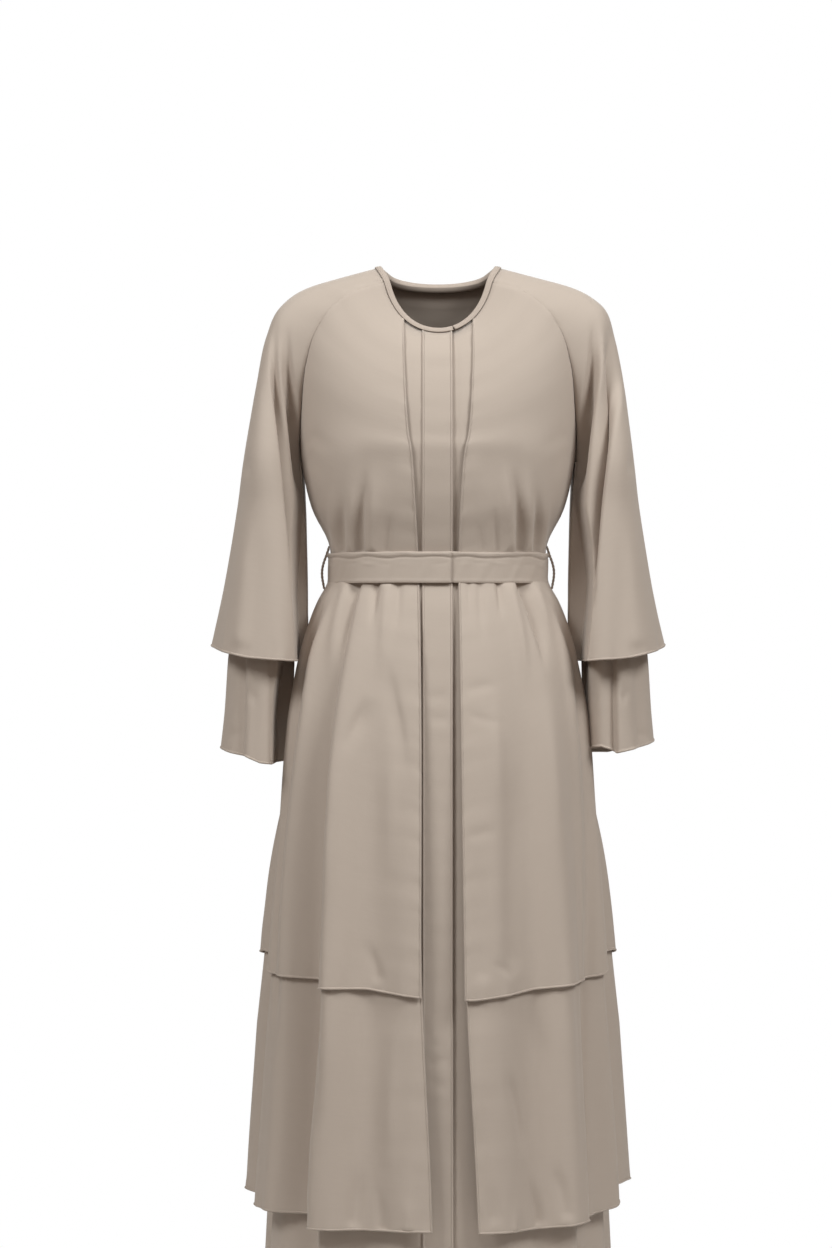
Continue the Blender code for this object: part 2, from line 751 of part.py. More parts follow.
def neck_edge():
    """The neck edge, from the stand's edge round the left shoulder and the back to the stand's edge again.

    Returns the points, the directions out of the cloth and the directions down along it.
    """
    top = BODY_ROWS[0]

    def frames(surface, count):
        levels = np.full(count, top)
        at = surface(levels, 0)
        out = surface(levels, -1) - at
        return at, out, surface(levels + 4, 0) - at

    def at_x(x):
        return angle_at_x(np.array([top]), x, OUTER)[0]

    def front(angles):
        return frames(lambda level, inset: body(level, angles, False, OUTER.moved_in(inset)), len(angles))

    def rear(angles):
        return frames(lambda level, inset: body(level, angles, True, OUTER.moved_in(inset)), len(angles))

    shares = np.array([0.05, 0.15, 0.3, 0.45, 0.6, 0.75, 0.88, 0.96])
    shoulder = frames(lambda level, inset: outer_sleeve(level, shares, 1, inset), len(shares))
    pieces = (front(np.linspace(at_x(STAND_EDGE + 1.5), 87, 9)), shoulder, rear(np.linspace(94, 168, 7)))
    left = [np.concatenate(parts) for parts in zip(*pieces)]
    right = [part[::-1] * (-1, 1, 1) for part in left]
    lap = front(np.linspace(at_x(-8), at_x(STAND_EDGE + 0.2), 3))
    return [np.concatenate(parts) for parts in zip(left, rear(np.array([180.0])), right, lap)]


def smoothed(vectors, times):
    """Vectors averaged with their neighbours along a path; its ends stay."""
    for _ in range(times):
        inner = (vectors[:-2] + 2 * vectors[1:-1] + vectors[2:]) / 4
        vectors = np.concatenate([vectors[:1], inner, vectors[-1:]])
    return vectors


def make_neck_binding(finish):
    """A folded strip over the neck edges: one leg outside, one leg inside, joined over the top."""
    points, outward, hanging = neck_edge()
    forward = unit(np.gradient(points, axis=0))
    outward = smoothed(outward, 2)
    outward = unit(outward - forward * np.sum(outward * forward, axis=1, keepdims=True))
    downward = np.cross(forward, outward)
    downward *= np.sign(np.sum(downward * hanging, axis=1, keepdims=True))
    outside = CLOTH / 2 + SEAM_GAP + BINDING_EASE
    inside = -(3 * NEST + 1 + CLOTH / 2 + SEAM_GAP)
    lip, leg = -SEAM_GAP - 1.2, CLOTH
    profile = [
        (outside, BINDING_HEIGHT),
        (outside + leg, BINDING_HEIGHT),
        (outside + leg, lip - leg),
        (inside - leg, lip - leg),
        (inside - leg, BINDING_HEIGHT),
        (inside, BINDING_HEIGHT),
        (inside, lip),
        (outside, lip),
    ]
    sections = np.stack([points + n * outward + d * downward for n, d in profile], axis=1)
    rings, corners = len(sections), len(profile)
    faces = []
    for i in range(rings - 1):
        for j in range(corners):
            k = (j + 1) % corners
            faces.append([i * corners + j, (i + 1) * corners + j, (i + 1) * corners + k, i * corners + k])
    for i, order in ((0, 1), (rings - 1, -1)):
        quads = ([0, 1, 2, 7], [2, 3, 6, 7], [3, 4, 5, 6])
        faces += [[i * corners + c for c in quad[::order]] for quad in quads]
    mesh_object("neck_binding", sections.reshape(-1, 3), faces, finish)


for old in list(bpy.data.objects):
    bpy.data.objects.remove(old)
PARTS = bpy.data.collections.new("Layered abaya")
bpy.context.scene.collection.children.link(PARTS)
crepe = material("Sand crepe", (0.42, 0.35, 0.285), 0.8)
trim = material("Sand trim", (0.40, 0.33, 0.27), 0.75)
make_open_layer("outer", BODY_ROWS, OUTER, OUTER_HEM, crepe)
make_open_layer("middle", MIDDLE_ROWS, MIDDLE, MIDDLE_HEM, crepe)
make_base(crepe)
make_sleeves(crepe)
make_belt(crepe)
make_belt_loops(trim)
make_neck_binding(trim)
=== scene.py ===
"""Layered raglan abaya in its worn form: its cloth, the finish of the cloth, the studio and the camera.

Each piece is a thin shell of cloth laid on the form of its own solid, with its smaller folds added. The
tables are in millimetres. level is the drop below the shoulder points, and angle goes round from centre
front, in degrees, positive to the wearer's left, which is the right of the picture.
"""

import functools

import bpy
import numpy as np
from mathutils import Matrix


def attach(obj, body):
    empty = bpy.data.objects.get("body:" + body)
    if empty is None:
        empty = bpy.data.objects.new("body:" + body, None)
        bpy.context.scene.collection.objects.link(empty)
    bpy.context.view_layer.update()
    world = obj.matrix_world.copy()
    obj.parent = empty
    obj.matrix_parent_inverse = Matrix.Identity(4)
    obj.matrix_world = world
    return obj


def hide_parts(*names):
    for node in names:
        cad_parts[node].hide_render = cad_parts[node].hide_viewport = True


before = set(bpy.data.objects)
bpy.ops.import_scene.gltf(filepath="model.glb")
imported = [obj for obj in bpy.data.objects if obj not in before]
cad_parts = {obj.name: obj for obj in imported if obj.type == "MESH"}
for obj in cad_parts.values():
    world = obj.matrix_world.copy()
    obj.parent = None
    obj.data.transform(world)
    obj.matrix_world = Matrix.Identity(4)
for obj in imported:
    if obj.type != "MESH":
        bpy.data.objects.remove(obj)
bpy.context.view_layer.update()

MM = 0.001

# Sizes of the cloth and its seams, levels of the garment's parts, and sizes of the belt, the binding,
# the loops, the button stand and the sleeves.
CLOTH = 0.8
SEAM_PULL = 0.15
SEAM_DIP = 1.1
SEAM_TURN = 2.4
ROLL = 1.4
NEST = 1.7
WAIST = 376.0
UNDERARM = 240.0
OUTER_HEM = 880.0
MIDDLE_HEM = 1165.0
BASE_HEM = 1370.0
OUTER_SLEEVE_HEM = 486.0
UNDER_SLEEVE_SEAM = 350.0
UNDER_SLEEVE_HEM = 610.0
FOLD_START = 406.0
WRIST = 590.0
ARM_HOLLOW = 19.0
HOLLOW_ANGLE = 92.0
BELT_DRAW = 6.5
DRAW_LEVEL = 348.0
CREASE_DEPTH = 1.5
OWN_DEPTH = 1.4
HEM_START = 476.0
BELT_HEIGHT = 38.0
BELT_THICKNESS = 2.0
BELT_ROOM = 1.1
BINDING_HEIGHT = 6.0
BINDING_EASE = 0.8
BINDING_STEP = 2.5
LOOP_DIAMETER = 3.0
STAND_EDGE = 17.0
STAND_WIDTH = 37.0
UNDER_FOLD_SHARE = 0.5
SLEEVE_EASE = 0.5
SLEEVE_ROUND = 380.0
SLEEVE_FOLD_TOP = 110.0
SLEEVE_FOLD_START = 150.0
RECESS_EDGE = 12.0
RECESS_SHARP_EDGE = 4.0
SHOULDER_LEVEL = 100.0


class Table:
    """Rows of numbers under named columns; each column is an array attribute."""

    def __init__(self, names, rows):
        for name, column in zip(names.split(), np.array(rows, float).T):
            setattr(self, name, column)
        self.rows = [dict(zip(names.split(), row)) for row in rows]


# The yoke, from the neckline to just above the underarm. A row is a section from the centre to the
# raglan seam. At the seam the section has turned back by the angle turn, and climbs there by rise, as a
# share of its whole climb.
YOKE_FRONT = Table(
    "level centre_y centre_z seam_x seam_y seam_z turn rise",
    [
        (20, -62, -84, 62, -36, -20, 62, 0.62),
        (32, -84, -108, 98, -54, -32, 48, 0.55),
        (52, -97, -134, 128, -61, -52, 42, 0.50),
        (82, -107, -160, 150, -60, -82, 44, 0.40),
        (122, -114, -188, 163, -53, -122, 54, 0.30),
        (172, -118, -214, 169, -36, -172, 72, 0.20),
    ],
)
YOKE_BACK = Table(
    "level centre_y centre_z seam_x seam_y seam_z turn rise",
    [
        (20, 58, -16, 60, 34, -8, 60, 0.50),
        (32, 84, -56, 99, 56, -33, 46, 0.45),
        (52, 97, -94, 129, 68, -64, 42, 0.40),
        (82, 103, -130, 148, 70, -102, 44, 0.35),
        (122, 105, -168, 160, 62, -144, 54, 0.30),
        (172, 104, -206, 167, 42, -190, 72, 0.20),
    ],
)

# Level sections of the outer layer from the underarm down. full shapes the corners of the section.
RINGS = Table(
    "level half_width front_depth back_depth full",
    [
        (240, 170, 120, 101, 0.60),
        (300, 158, 112, 95, 0.58),
        (338, 145, 101, 88, 0.56),
        (357, 140, 96, 86, 0.56),
        (395, 140, 96, 86, 0.56),
        (415, 151, 104, 98, 0.56),
        (465, 170, 120, 120, 0.57),
        (540, 186, 136, 140, 0.58),
        (690, 197, 154, 164, 0.58),
        (880, 208, 171, 186, 0.58),
        (1165, 227, 190, 205, 0.58),
        (1370, 240, 201, 216, 0.58),
    ],
)

# How far each layer lies inside the outer one, at some of the levels.
INSET = Table(
    "level middle base",
    [
        (20, 1.7, 1.7),
        (82, 3, 3),
        (240, 4, 4.5),
        (300, 3, 4.5),
        (350, 1.7, 3.4),
        (400, 1.7, 3.4),
        (465, 4, 8),
        (690, 6, 15),
        (880, 6, 20),
        (1165, 5, 24),
        (1370, 5, 26),
    ],
)

# Where the open front edges of the outer and middle layers run, as distances from centre front.
FRONT_EDGES = Table(
    "level outer_left outer_right middle_left middle_right",
    [
        (20, 42, -42, 42, -42),
        (172, 36, -36, 36, -36),
        (300, 26, -28, 26, -28),
        (376, 24, -24, 24, -24),
        (465, 25, -22, 26, -22),
        (880, 30, -21, 32, -20),
        (1165, 34, -20, 46, -8),
        (1370, 34, -20, 50, -8),
    ],
)

# The large soft folds of the skirt. belt and hem are the fold's angles at the belt and at the outer hem.
# before and after are its widths in degrees. out is how far it stands out at the outer hem, or falls in.
SKIRT_FOLDS = Table(
    "belt hem before after out",
    [
        (-16, -8, 8, 9, 6),
        (-22, -24, 8, 9, -9),
        (-34, -39, 6, 13, 18),
        (-46, -49, 9, 6, -24),
        (-58, -63, 9, 10, 12),
        (-80, -77, 6, 7, 10),
        (-88, -89, 8, 8, -19),
        (-97, -104, 9, 12, 26),
        (-112, -122, 10, 9, -12),
        (-126, -138, 9, 10, 15),
        (-145, -155, 9, 9, -13),
        (-163, -172, 9, 9, 14),
        (179, 171, 9, 9, -12),
        (160, 154, 9, 9, 16),
        (142, 136, 9, 9, -14),
        (126, 121, 9, 9, 13),
        (97, 104, 12, 9, 27),
        (88, 89, 8, 8, -19),
        (80, 76, 7, 6, 10),
        (56, 62, 9, 9, -8),
        (42, 46, 9, 8, 10),
        (30, 33, 9, 8, -12),
        (14, 14, 9, 11, 9),
    ],
)

# Hem levels round the skirt, as differences from the layer's own hem level.
HEM_WAVES = Table(
    "angle outer middle",
    [
        (-180, 0, 0),
        (-124, 0, 0),
        (-98, -22, -4),
        (-84, -19, -4),
        (-74, -5, -4),
        (-50, -4, -6),
        (-42, 4, 4),
        (-24, 2, 2),
        (-7, 10, 0),
        (10, 14, 2),
        (35, 4, 4),
        (60, 0, 0),
        (73, -3, -3),
        (83, -20, -14),
        (98, -23, -16),
        (124, 0, -6),
        (180, 0, 0),
    ],
)

# The sleeve above the underarm. Each row is an arc from the front seam over the shoulder line's point
# (x, y, z) to the back seam. reach and angle aim the arc at the seam, in plan, and full rounds it at the
# shoulder line.
SLEEVE_CAP = Table(
    "level x y z front_reach front_angle front_full back_reach back_angle back_full",
    [
        (20, 73, 0, 0, 8, 60, 18, 8, 60, 16),
        (32, 122, -2, -14, 22, 44, 30, 22, 46, 30),
        (52, 163, -3, -27, 34, 38, 36, 34, 42, 38),
        (82, 195, -3, -50, 38, 22, 44, 40, 26, 46),
        (122, 212, 0, -88, 40, 4, 54, 42, 6, 58),
        (172, 222, 4, -148, 48, -30, 68, 50, -28, 72),
    ],
)

# The sleeve below the underarm, as level tubes seen from above: the point nearest the body, the point
# furthest out, and the reaches and angles in degrees by which the arcs leave those two points, to the
# front and to the back. The front's inner corner is the tighter one.
OUTER_SLEEVE = Table(
    "level inner_x inner_y outer_x outer_y inner_angle outer_angle front_in front_out back_out back_in",
    [
        (240, 172, -3, 239, 8, 10, 4, 96, 92, 96, 98),
        (300, 167, -4, 248, 8, 8, -2, 102, 84, 96, 98),
        (350, 165, -4, 256, 8, 6, -6, 110, 88, 104, 106),
        (430, 163, -5, 270, 5, 3, -9, 122, 96, 116, 118),
        (486, 163, -5, 282, 5, 2, -10, 132, 104, 126, 128),
    ],
)
UNDER_SLEEVE = Table(
    "level inner_x inner_y outer_x outer_y inner_angle outer_angle front_in front_out back_out back_in",
    [
        (400, 180, -3, 250, 5, 4, -6, 86, 76, 88, 88),
        (486, 180, -2, 260, 3, 3, -6, 88, 80, 88, 88),
        (560, 182, -2, 265, 2, 2, -6, 90, 82, 88, 88),
        (615, 185, -2, 271, 2, 2, -6, 92, 84, 88, 88),
    ],
)

# Sleeve folds. Each one's place is given on the cap, the upper arm, at the underarm, the elbow and the
# hem, as a share of the way round: 0 at the underarm, 0.25 at the front, 0.5 outside. before and after
# are widths in the same measure, and out is how far the fold stands out at the hem, where it is full
# grown.
SLEEVE_FOLD_LEVELS = np.array([137.0, 188.0, 240.0, 350.0, 486.0])
SLEEVE_FOLDS = Table(
    "cap upper underarm elbow hem before after out",
    [
        (0.50, 0.480, 0.470, 0.47, 0.47, 0.05, 0.06, 5),
        (0.60, 0.600, 0.600, 0.60, 0.60, 0.05, 0.05, -7),
        (0.70, 0.700, 0.700, 0.70, 0.71, 0.06, 0.05, 9),
        (0.82, 0.820, 0.820, 0.82, 0.83, 0.05, 0.05, -9),
    ],
)

# Sharp folds down the front of each sleeve. Each is a path of (x, level) seen square on, and then its
# widths to the left and right of the path, how far it stands out or falls in, the levels at which it
# starts and is full grown, and the levels between which it dies away. The right sleeve's x counts to
# the wearer's right.
SLEEVE_LINES = {
    "left": (
        (
            ((192, 60), (188, 137), (181, 182), (173, 240), (168, 300)),
            (4, 8, -17, 60, 190, 236, 300),
        ),
        (
            ((199, 60), (200, 137), (197, 182), (192, 240), (187, 300), (181, 380)),
            (6, 5, 6, 60, 170, 270, 390),
        ),
        (
            ((206, 60), (213, 120), (214, 165), (208, 207), (203, 248), (197, 300), (191, 380)),
            (6, 3, -16, 56, 160, 350, 440),
        ),
        (
            ((212, 60), (219, 120), (220, 165), (215, 207), (210, 248), (204, 300), (196, 380), (187, 486)),
            (4, 26, 7, 40, 170, 700, 900),
        ),
        (
            ((224, 240), (237, 350), (254, 486)),
            (22, 17, 9, 170, 400, 700, 900),
        ),
    ),
    "right": (
        (
            ((188, 60), (184, 137), (178, 182), (171, 240), (166, 300)),
            (4, 8, -16, 70, 200, 236, 300),
        ),
        (
            ((194, 60), (195, 137), (192, 182), (187, 240), (182, 300), (177, 380)),
            (6, 5, 6, 60, 170, 280, 390),
        ),
        (
            ((199, 60), (202, 137), (199, 182), (193, 240), (187, 300), (181, 380)),
            (7, 3, -15, 90, 214, 350, 430),
        ),
        (
            ((205, 60), (208, 137), (205, 182), (200, 240), (194, 300), (186, 380), (182, 486)),
            (4, 28, 7, 50, 200, 700, 900),
        ),
        (
            ((222, 240), (235, 350), (252, 486)),
            (22, 17, 9, 170, 400, 700, 900),
        ),
    ),
}
# The edges of the deep folds beside the body, as paths of (x, level): the cloth between them and the body
# lies as far back as RECESS_DEPTH, which is its y.
RECESSES = {
    "outer_left": ((180, 240), (181, 300), (188, 340), (190, 380), (187, 420), (181, 486)),
    "outer_right": ((177, 240), (178, 300), (181, 340), (180, 380), (178, 420), (175, 486)),
    "under_left": ((193, 340), (195, 380), (193, 420), (188, 486), (184, 560), (184, 620)),
    "under_right": ((187, 340), (186, 380), (188, 420), (195, 486), (203, 540), (204, 620)),
}
RECESS_DEPTH = {"outer": -4.0, "under": 2.0}
# How far the shoulder's outer side stands out from the plain sleeve.
SHOULDER_OUT = {"left": 9.0, "right": 1.0}

# Sharp folds down the skirt's sides, given in the same way. x is positive to the wearer's left.
SIDE_LINES = (
    (
        ((136, 402), (153, 440), (167, 480), (178, 560), (185, 650), (189, 760), (190, 880), (191, 1165)),
        (7, 3, -6, 398, 470, 1300, 1400),
    ),
    (
        ((128, 402), (144, 440), (157, 480), (167, 560), (174, 650), (178, 760), (179, 880), (180, 1165)),
        (6, 6, 3.5, 398, 470, 1300, 1400),
    ),
    (
        ((-134, 402), (-150, 440), (-163, 480), (-174, 560), (-184, 650), (-192, 760), (-195, 880)),
        (3, 7, -6, 398, 470, 840, 1000),
    ),
    (
        ((-125, 402), (-140, 440), (-153, 480), (-163, 560), (-172, 650), (-181, 760), (-184, 880)),
        (6, 6, 3, 398, 470, 840, 1000),
    ),
    (
        ((-104, 402), (-118, 480), (-131, 560), (-138, 700), (-141, 880)),
        (7, 4, -8, 398, 620, 870, 1100),
    ),
    (
        ((-92, 402), (-106, 480), (-119, 560), (-125, 700), (-127, 880)),
        (6, 16, 5, 430, 640, 870, 1100),
    ),
)

# Hem levels round the sleeves, as differences from the tier's own hem level.
SLEEVE_HEM_WAVES = Table(
    "along outer under_left under_right",
    [
        (0.0, 4, -4, 4),
        (0.08, 5, -12, 6),
        (0.15, 5, -14, 8),
        (0.22, 3, -6, 6),
        (0.30, 1, -10, -2),
        (0.5, -13, -20, -10),
        (0.62, -8, -12, -8),
        (0.8, 2, -2, 0),
        (1.0, 4, -4, 4),
    ],
)

# Creases of the waist and the bodice, which all the layers share. Each runs from (x0, down0) to
# (x1, down1), seen square on: x is positive to the wearer's left and down is the drop below the shoulder
# points. bow bends it sideways. left and right are its widths on either side, in the order of x, and out
# is how far it stands out, or falls in. It dies away over the shares fade0 and fade1 of its length.
CREASE_COLUMNS = "x0 down0 x1 down1 bow left right out fade0 fade1"
WAIST_FRONT = Table(
    CREASE_COLUMNS,
    [
        (92, 250, 99, 362, 2, 3.4, 7, -5.0, 0.6, 0.01),
        (80, 236, 89, 360, 1, 8, 5, 3.0, 0.7, 0.02),
        (109, 250, 111, 362, 1, 6, 5, 3.2, 0.6, 0.01),
        (120, 276, 123, 362, 0, 3.4, 5, -3.6, 0.6, 0.01),
        (67, 296, 72, 360, 0, 4, 4, -2.0, 0.7, 0.02),
        (50, 318, 54, 360, 0, 4, 4, -1.3, 0.7, 0.02),
        (132, 262, 132, 360, 0, 6, 5, 2.2, 0.7, 0.02),
        (40, 264, 118, 250, 5, 30, 24, -1.5, 0.3, 0.3),
        (160, 204, 116, 236, 4, 9, 11, -0.7, 0.25, 0.7),
        (163, 226, 126, 266, 3, 8, 10, -0.6, 0.25, 0.7),
        (-88, 252, -95, 362, -2, 7, 3.4, -4.6, 0.6, 0.01),
        (-76, 246, -83, 360, -1, 5, 8, 2.6, 0.7, 0.02),
        (-105, 262, -108, 360, 0, 6, 6, 2.6, 0.7, 0.02),
        (-117, 286, -120, 360, 0, 5, 4, -2.8, 0.6, 0.02),
        (-58, 304, -63, 360, 0, 4, 4, -1.7, 0.7, 0.02),
        (-130, 270, -131, 360, 0, 5, 6, 2.2, 0.7, 0.02),
        (-44, 266, -112, 254, -5, 24, 30, -1.4, 0.3, 0.3),
        (-160, 206, -120, 236, -4, 11, 9, -0.7, 0.25, 0.7),
        (-162, 230, -130, 270, -3, 10, 8, -0.6, 0.25, 0.7),
        (72, 392, 77, 446, 0, 3, 5, -2.6, 0.02, 0.8),
        (98, 392, 130, 508, 5, 4, 9, -6.0, 0.02, 0.6),
        (86, 392, 108, 540, 4, 9, 6, 2.8, 0.05, 0.6),
        (50, 392, 53, 476, 0, 5, 5, -1.6, 0.05, 0.8),
        (116, 392, 142, 480, 2, 5, 7, 2.6, 0.05, 0.7),
        (36, 392, 37, 440, 0, 3, 4, -1.2, 0.05, 0.8),
        (-74, 392, -82, 456, 0, 5, 3, -3.0, 0.02, 0.8),
        (-98, 392, -119, 512, -4, 9, 4, -5.0, 0.02, 0.6),
        (-110, 392, -138, 520, -3, 7, 9, 2.8, 0.05, 0.6),
        (-48, 392, -52, 468, 0, 5, 5, -1.6, 0.05, 0.8),
        (-62, 392, -70, 520, 0, 7, 7, 2.2, 0.05, 0.6),
    ],
)
WAIST_BACK = Table(
    CREASE_COLUMNS,
    [
        (-112, 252, -104, 360, 0, 5, 7, -3.6, 0.7, 0.02),
        (-94, 236, -88, 360, 0, 6, 6, 2.6, 0.7, 0.02),
        (-70, 268, -69, 360, 0, 4, 6, -3.0, 0.7, 0.02),
        (-48, 290, -47, 360, 0, 5, 5, 1.8, 0.7, 0.02),
        (-24, 276, -23, 360, 0, 5, 4, -2.4, 0.7, 0.02),
        (6, 300, 5, 360, 0, 5, 5, -1.8, 0.7, 0.02),
        (30, 262, 31, 360, 0, 5, 6, 2.2, 0.7, 0.02),
        (55, 280, 54, 360, 0, 4, 5, -2.8, 0.7, 0.02),
        (84, 248, 78, 360, 0, 6, 6, 2.6, 0.7, 0.02),
        (108, 262, 99, 360, 0, 6, 4, -3.8, 0.7, 0.02),
        (126, 276, 122, 360, 0, 5, 5, 2.0, 0.7, 0.02),
        (-150, 198, -96, 236, 4, 9, 8, -2.6, 0.25, 0.7),
        (152, 200, 100, 242, -4, 8, 9, -2.6, 0.25, 0.7),
        (-158, 226, -112, 276, 3, 7, 7, -2.0, 0.25, 0.7),
        (158, 224, 116, 268, -3, 7, 7, -2.0, 0.25, 0.7),
        (-104, 392, -122, 506, -3, 8, 5, -4.6, 0.02, 0.6),
        (-82, 392, -90, 480, 0, 5, 5, 2.2, 0.05, 0.7),
        (-58, 392, -62, 520, 0, 4, 8, -4.0, 0.02, 0.6),
        (-34, 392, -38, 470, 0, 5, 5, 1.8, 0.05, 0.7),
        (-9, 392, -11, 500, 0, 5, 6, -3.2, 0.02, 0.6),
        (20, 392, 22, 480, 0, 5, 5, 2.0, 0.05, 0.7),
        (42, 392, 48, 530, 0, 7, 4, -4.2, 0.02, 0.6),
        (68, 392, 76, 470, 0, 5, 5, 2.0, 0.05, 0.7),
        (92, 392, 110, 512, 3, 5, 8, -4.6, 0.02, 0.6),
    ],
)

# Softer creases lower down, each on its own layer.
OUTER_FRONT = Table(
    CREASE_COLUMNS,
    [
        (-84, 530, -114, 606, 0, 6, 12, -1.8, 0.4, 0.6),
        (-68, 476, -38, 650, 5, 12, 6, -1.7, 0.5, 0.6),
        (-60, 560, -66, 760, 4, 14, 10, 1.6, 0.5, 0.5),
        (-126, 560, -134, 800, 3, 9, 14, 1.8, 0.4, 0.4),
        (62, 520, 70, 700, 4, 12, 9, 1.8, 0.5, 0.5),
        (92, 600, 88, 868, -4, 10, 14, -1.8, 0.5, 0.1),
        (128, 520, 140, 760, 4, 10, 10, 1.6, 0.4, 0.5),
        (44, 690, 50, 876, 2, 12, 10, -1.3, 0.5, 0.1),
        (60, 846, 92, 872, 2, 5, 7, -1.0, 0.5, 0.4),
        (-92, 820, -70, 876, 2, 8, 6, -1.2, 0.6, 0.2),
        (30, 528, 76, 519, 3, 5, 6, -0.5, 0.3, 0.5),
        (31, 552, 84, 564, -3, 6, 5, -0.5, 0.3, 0.5),
        (32, 702, 70, 693, 2, 6, 6, -0.5, 0.3, 0.5),
    ],
)
MIDDLE_FRONT = Table(
    CREASE_COLUMNS,
    [
        (80, 972, 109, 1085, 4, 8, 5, -2.2, 0.3, 0.4),
        (114, 1104, 128, 1166, 1, 5, 6, -2.0, 0.5, 0.1),
        (142, 1090, 156, 1160, 1, 5, 5, -2.0, 0.5, 0.1),
        (56, 1100, 66, 1160, 0, 6, 8, -1.2, 0.6, 0.2),
        (96, 1130, 92, 1168, 0, 5, 5, 1.2, 0.6, 0.1),
        (50, 900, 44, 1080, -2, 12, 12, 1.4, 0.5, 0.5),
        (-52, 900, -62, 1120, -2, 12, 10, 1.6, 0.5, 0.4),
        (-96, 1090, -106, 1164, 0, 6, 6, -1.7, 0.5, 0.1),
        (-74, 1110, -70, 1166, 0, 6, 7, -1.4, 0.6, 0.1),
        (-34, 1120, -36, 1164, 0, 7, 6, 1.2, 0.6, 0.1),
        (-150, 1000, -158, 1160, 0, 8, 10, 1.8, 0.5, 0.2),
    ],
)
BASE_FRONT = Table(
    CREASE_COLUMNS,
    [
        (60, 1190, 70, 1370, 2, 12, 10, -1.8, 0.4, 0.05),
        (120, 1200, 124, 1370, 2, 10, 12, 1.8, 0.4, 0.05),
        (-66, 1200, -74, 1370, 2, 10, 12, -1.8, 0.4, 0.05),
        (-124, 1190, -120, 1370, 2, 10, 12, 1.8, 0.4, 0.05),
        (-18, 536, 14, 530, 2, 5, 5, -0.5, 0.3, 0.3),
        (-16, 553, 17, 560, -2, 5, 5, -0.5, 0.3, 0.3),
        (-18, 944, 12, 952, 2, 5, 5, -0.5, 0.3, 0.3),
        (-16, 972, 17, 963, 2, 5, 5, -0.6, 0.3, 0.3),
        (-12, 988, 14, 996, -2, 5, 5, -0.5, 0.3, 0.3),
    ],
)
OUTER_BACK = Table(
    CREASE_COLUMNS,
    [
        (-40, 520, -46, 740, 3, 12, 10, 1.8, 0.4, 0.5),
        (34, 560, 42, 800, 3, 10, 12, 1.8, 0.4, 0.5),
        (-100, 600, -110, 870, 3, 10, 12, -1.8, 0.4, 0.1),
        (96, 580, 108, 860, 3, 10, 12, -1.8, 0.4, 0.1),
        (0, 700, 4, 872, 0, 9, 9, 1.5, 0.5, 0.1),
        (60, 740, 66, 874, 0, 8, 9, -1.5, 0.5, 0.1),
        (-66, 760, -70, 874, 0, 8, 9, 1.4, 0.5, 0.1),
    ],
)
MIDDLE_BACK = Table(
    CREASE_COLUMNS,
    [
        (-90, 920, -98, 1160, 2, 10, 10, 1.8, 0.4, 0.1),
        (-30, 980, -34, 1160, 2, 10, 10, -1.8, 0.4, 0.1),
        (40, 940, 46, 1160, 2, 10, 10, 1.7, 0.4, 0.1),
        (110, 960, 118, 1160, 2, 10, 10, -1.8, 0.4, 0.1),
    ],
)

# Creases of the sleeves: share of the way round and level at both ends, then as above, in order round.
SLEEVE_CREASES = Table(
    CREASE_COLUMNS,
    [
        (0.86, 190, 0.76, 290, -8, 10, 7, -2.4, 0.3, 0.6),
        (0.90, 250, 0.82, 330, -4, 8, 6, -2.0, 0.3, 0.6),
        (0.30, 262, 0.42, 250, 6, 9, 12, -1.4, 0.5, 0.5),
        (0.52, 240, 0.62, 268, 6, 9, 12, -1.6, 0.5, 0.5),
        (0.31, 300, 0.315, 480, 4, 10, 14, 2.0, 0.5, 0.1),
        (0.54, 300, 0.545, 480, 4, 12, 12, 2.0, 0.5, 0.1),
        (0.655, 320, 0.66, 480, 4, 10, 12, -2.0, 0.5, 0.1),
        (0.77, 330, 0.775, 480, 4, 10, 12, 2.0, 0.5, 0.1),
    ],
)
# Sharp folds of the lower tiers, given as those of the upper ones are.
UNDER_SLEEVE_LINES = {
    "left": (
        (
            ((214, 440), (214, 540), (215, 620)),
            (7, 4, -8, 440, 500, 900, 1000),
        ),
        (
            ((221, 440), (221, 540), (223, 620)),
            (5, 14, 3.5, 440, 500, 900, 1000),
        ),
        (
            ((199, 440), (199, 540), (200, 620)),
            (9, 8, 3, 440, 500, 900, 1000),
        ),
        (
            ((244, 440), (246, 540), (248, 620)),
            (7, 6, -3, 440, 520, 900, 1000),
        ),
    ),
    "right": (
        (
            ((211, 440), (211, 540), (212, 620)),
            (5, 12, 4, 440, 500, 900, 1000),
        ),
        (
            ((240, 440), (241, 540), (243, 620)),
            (4, 6, -6, 440, 500, 900, 1000),
        ),
        (
            ((233, 440), (234, 540), (236, 620)),
            (8, 4, 2.5, 440, 500, 900, 1000),
        ),
    ),
}
UNDER_SLEEVE_WRINKLES = Table(
    CREASE_COLUMNS,
    [
        (0.26, 548, 0.33, 520, 3, 6, 8, -1.2, 0.4, 0.6),
        (0.34, 578, 0.44, 590, 2, 5, 6, -1.0, 0.4, 0.5),
        (0.56, 470, 0.57, 606, 2, 10, 9, 1.6, 0.4, 0.1),
        (0.76, 480, 0.77, 606, 2, 9, 9, 1.6, 0.4, 0.1),
    ],
)


def along(knots, values, level):
    """Smooth cubic through values[k] at knots[k], read at each element of level.

    The slope at a knot is the second-order difference of its neighbours.
    """
    knots = np.asarray(knots, float)
    level = np.asarray(level, float)
    slopes = np.gradient(values, knots, axis=0)
    span = np.clip(np.searchsorted(knots, level, side="right") - 1, 0, len(knots) - 2)
    width = knots[span + 1] - knots[span]
    t = (level - knots[span]) / width
    if values.ndim > 1:
        t, width = t[..., None], width[..., None]
    return (
        (2 * t**3 - 3 * t**2 + 1) * values[span]
        + (t**3 - 2 * t**2 + t) * slopes[span] * width
        + (3 * t**2 - 2 * t**3) * values[span + 1]
        + (t**3 - t**2) * slopes[span + 1] * width
    )


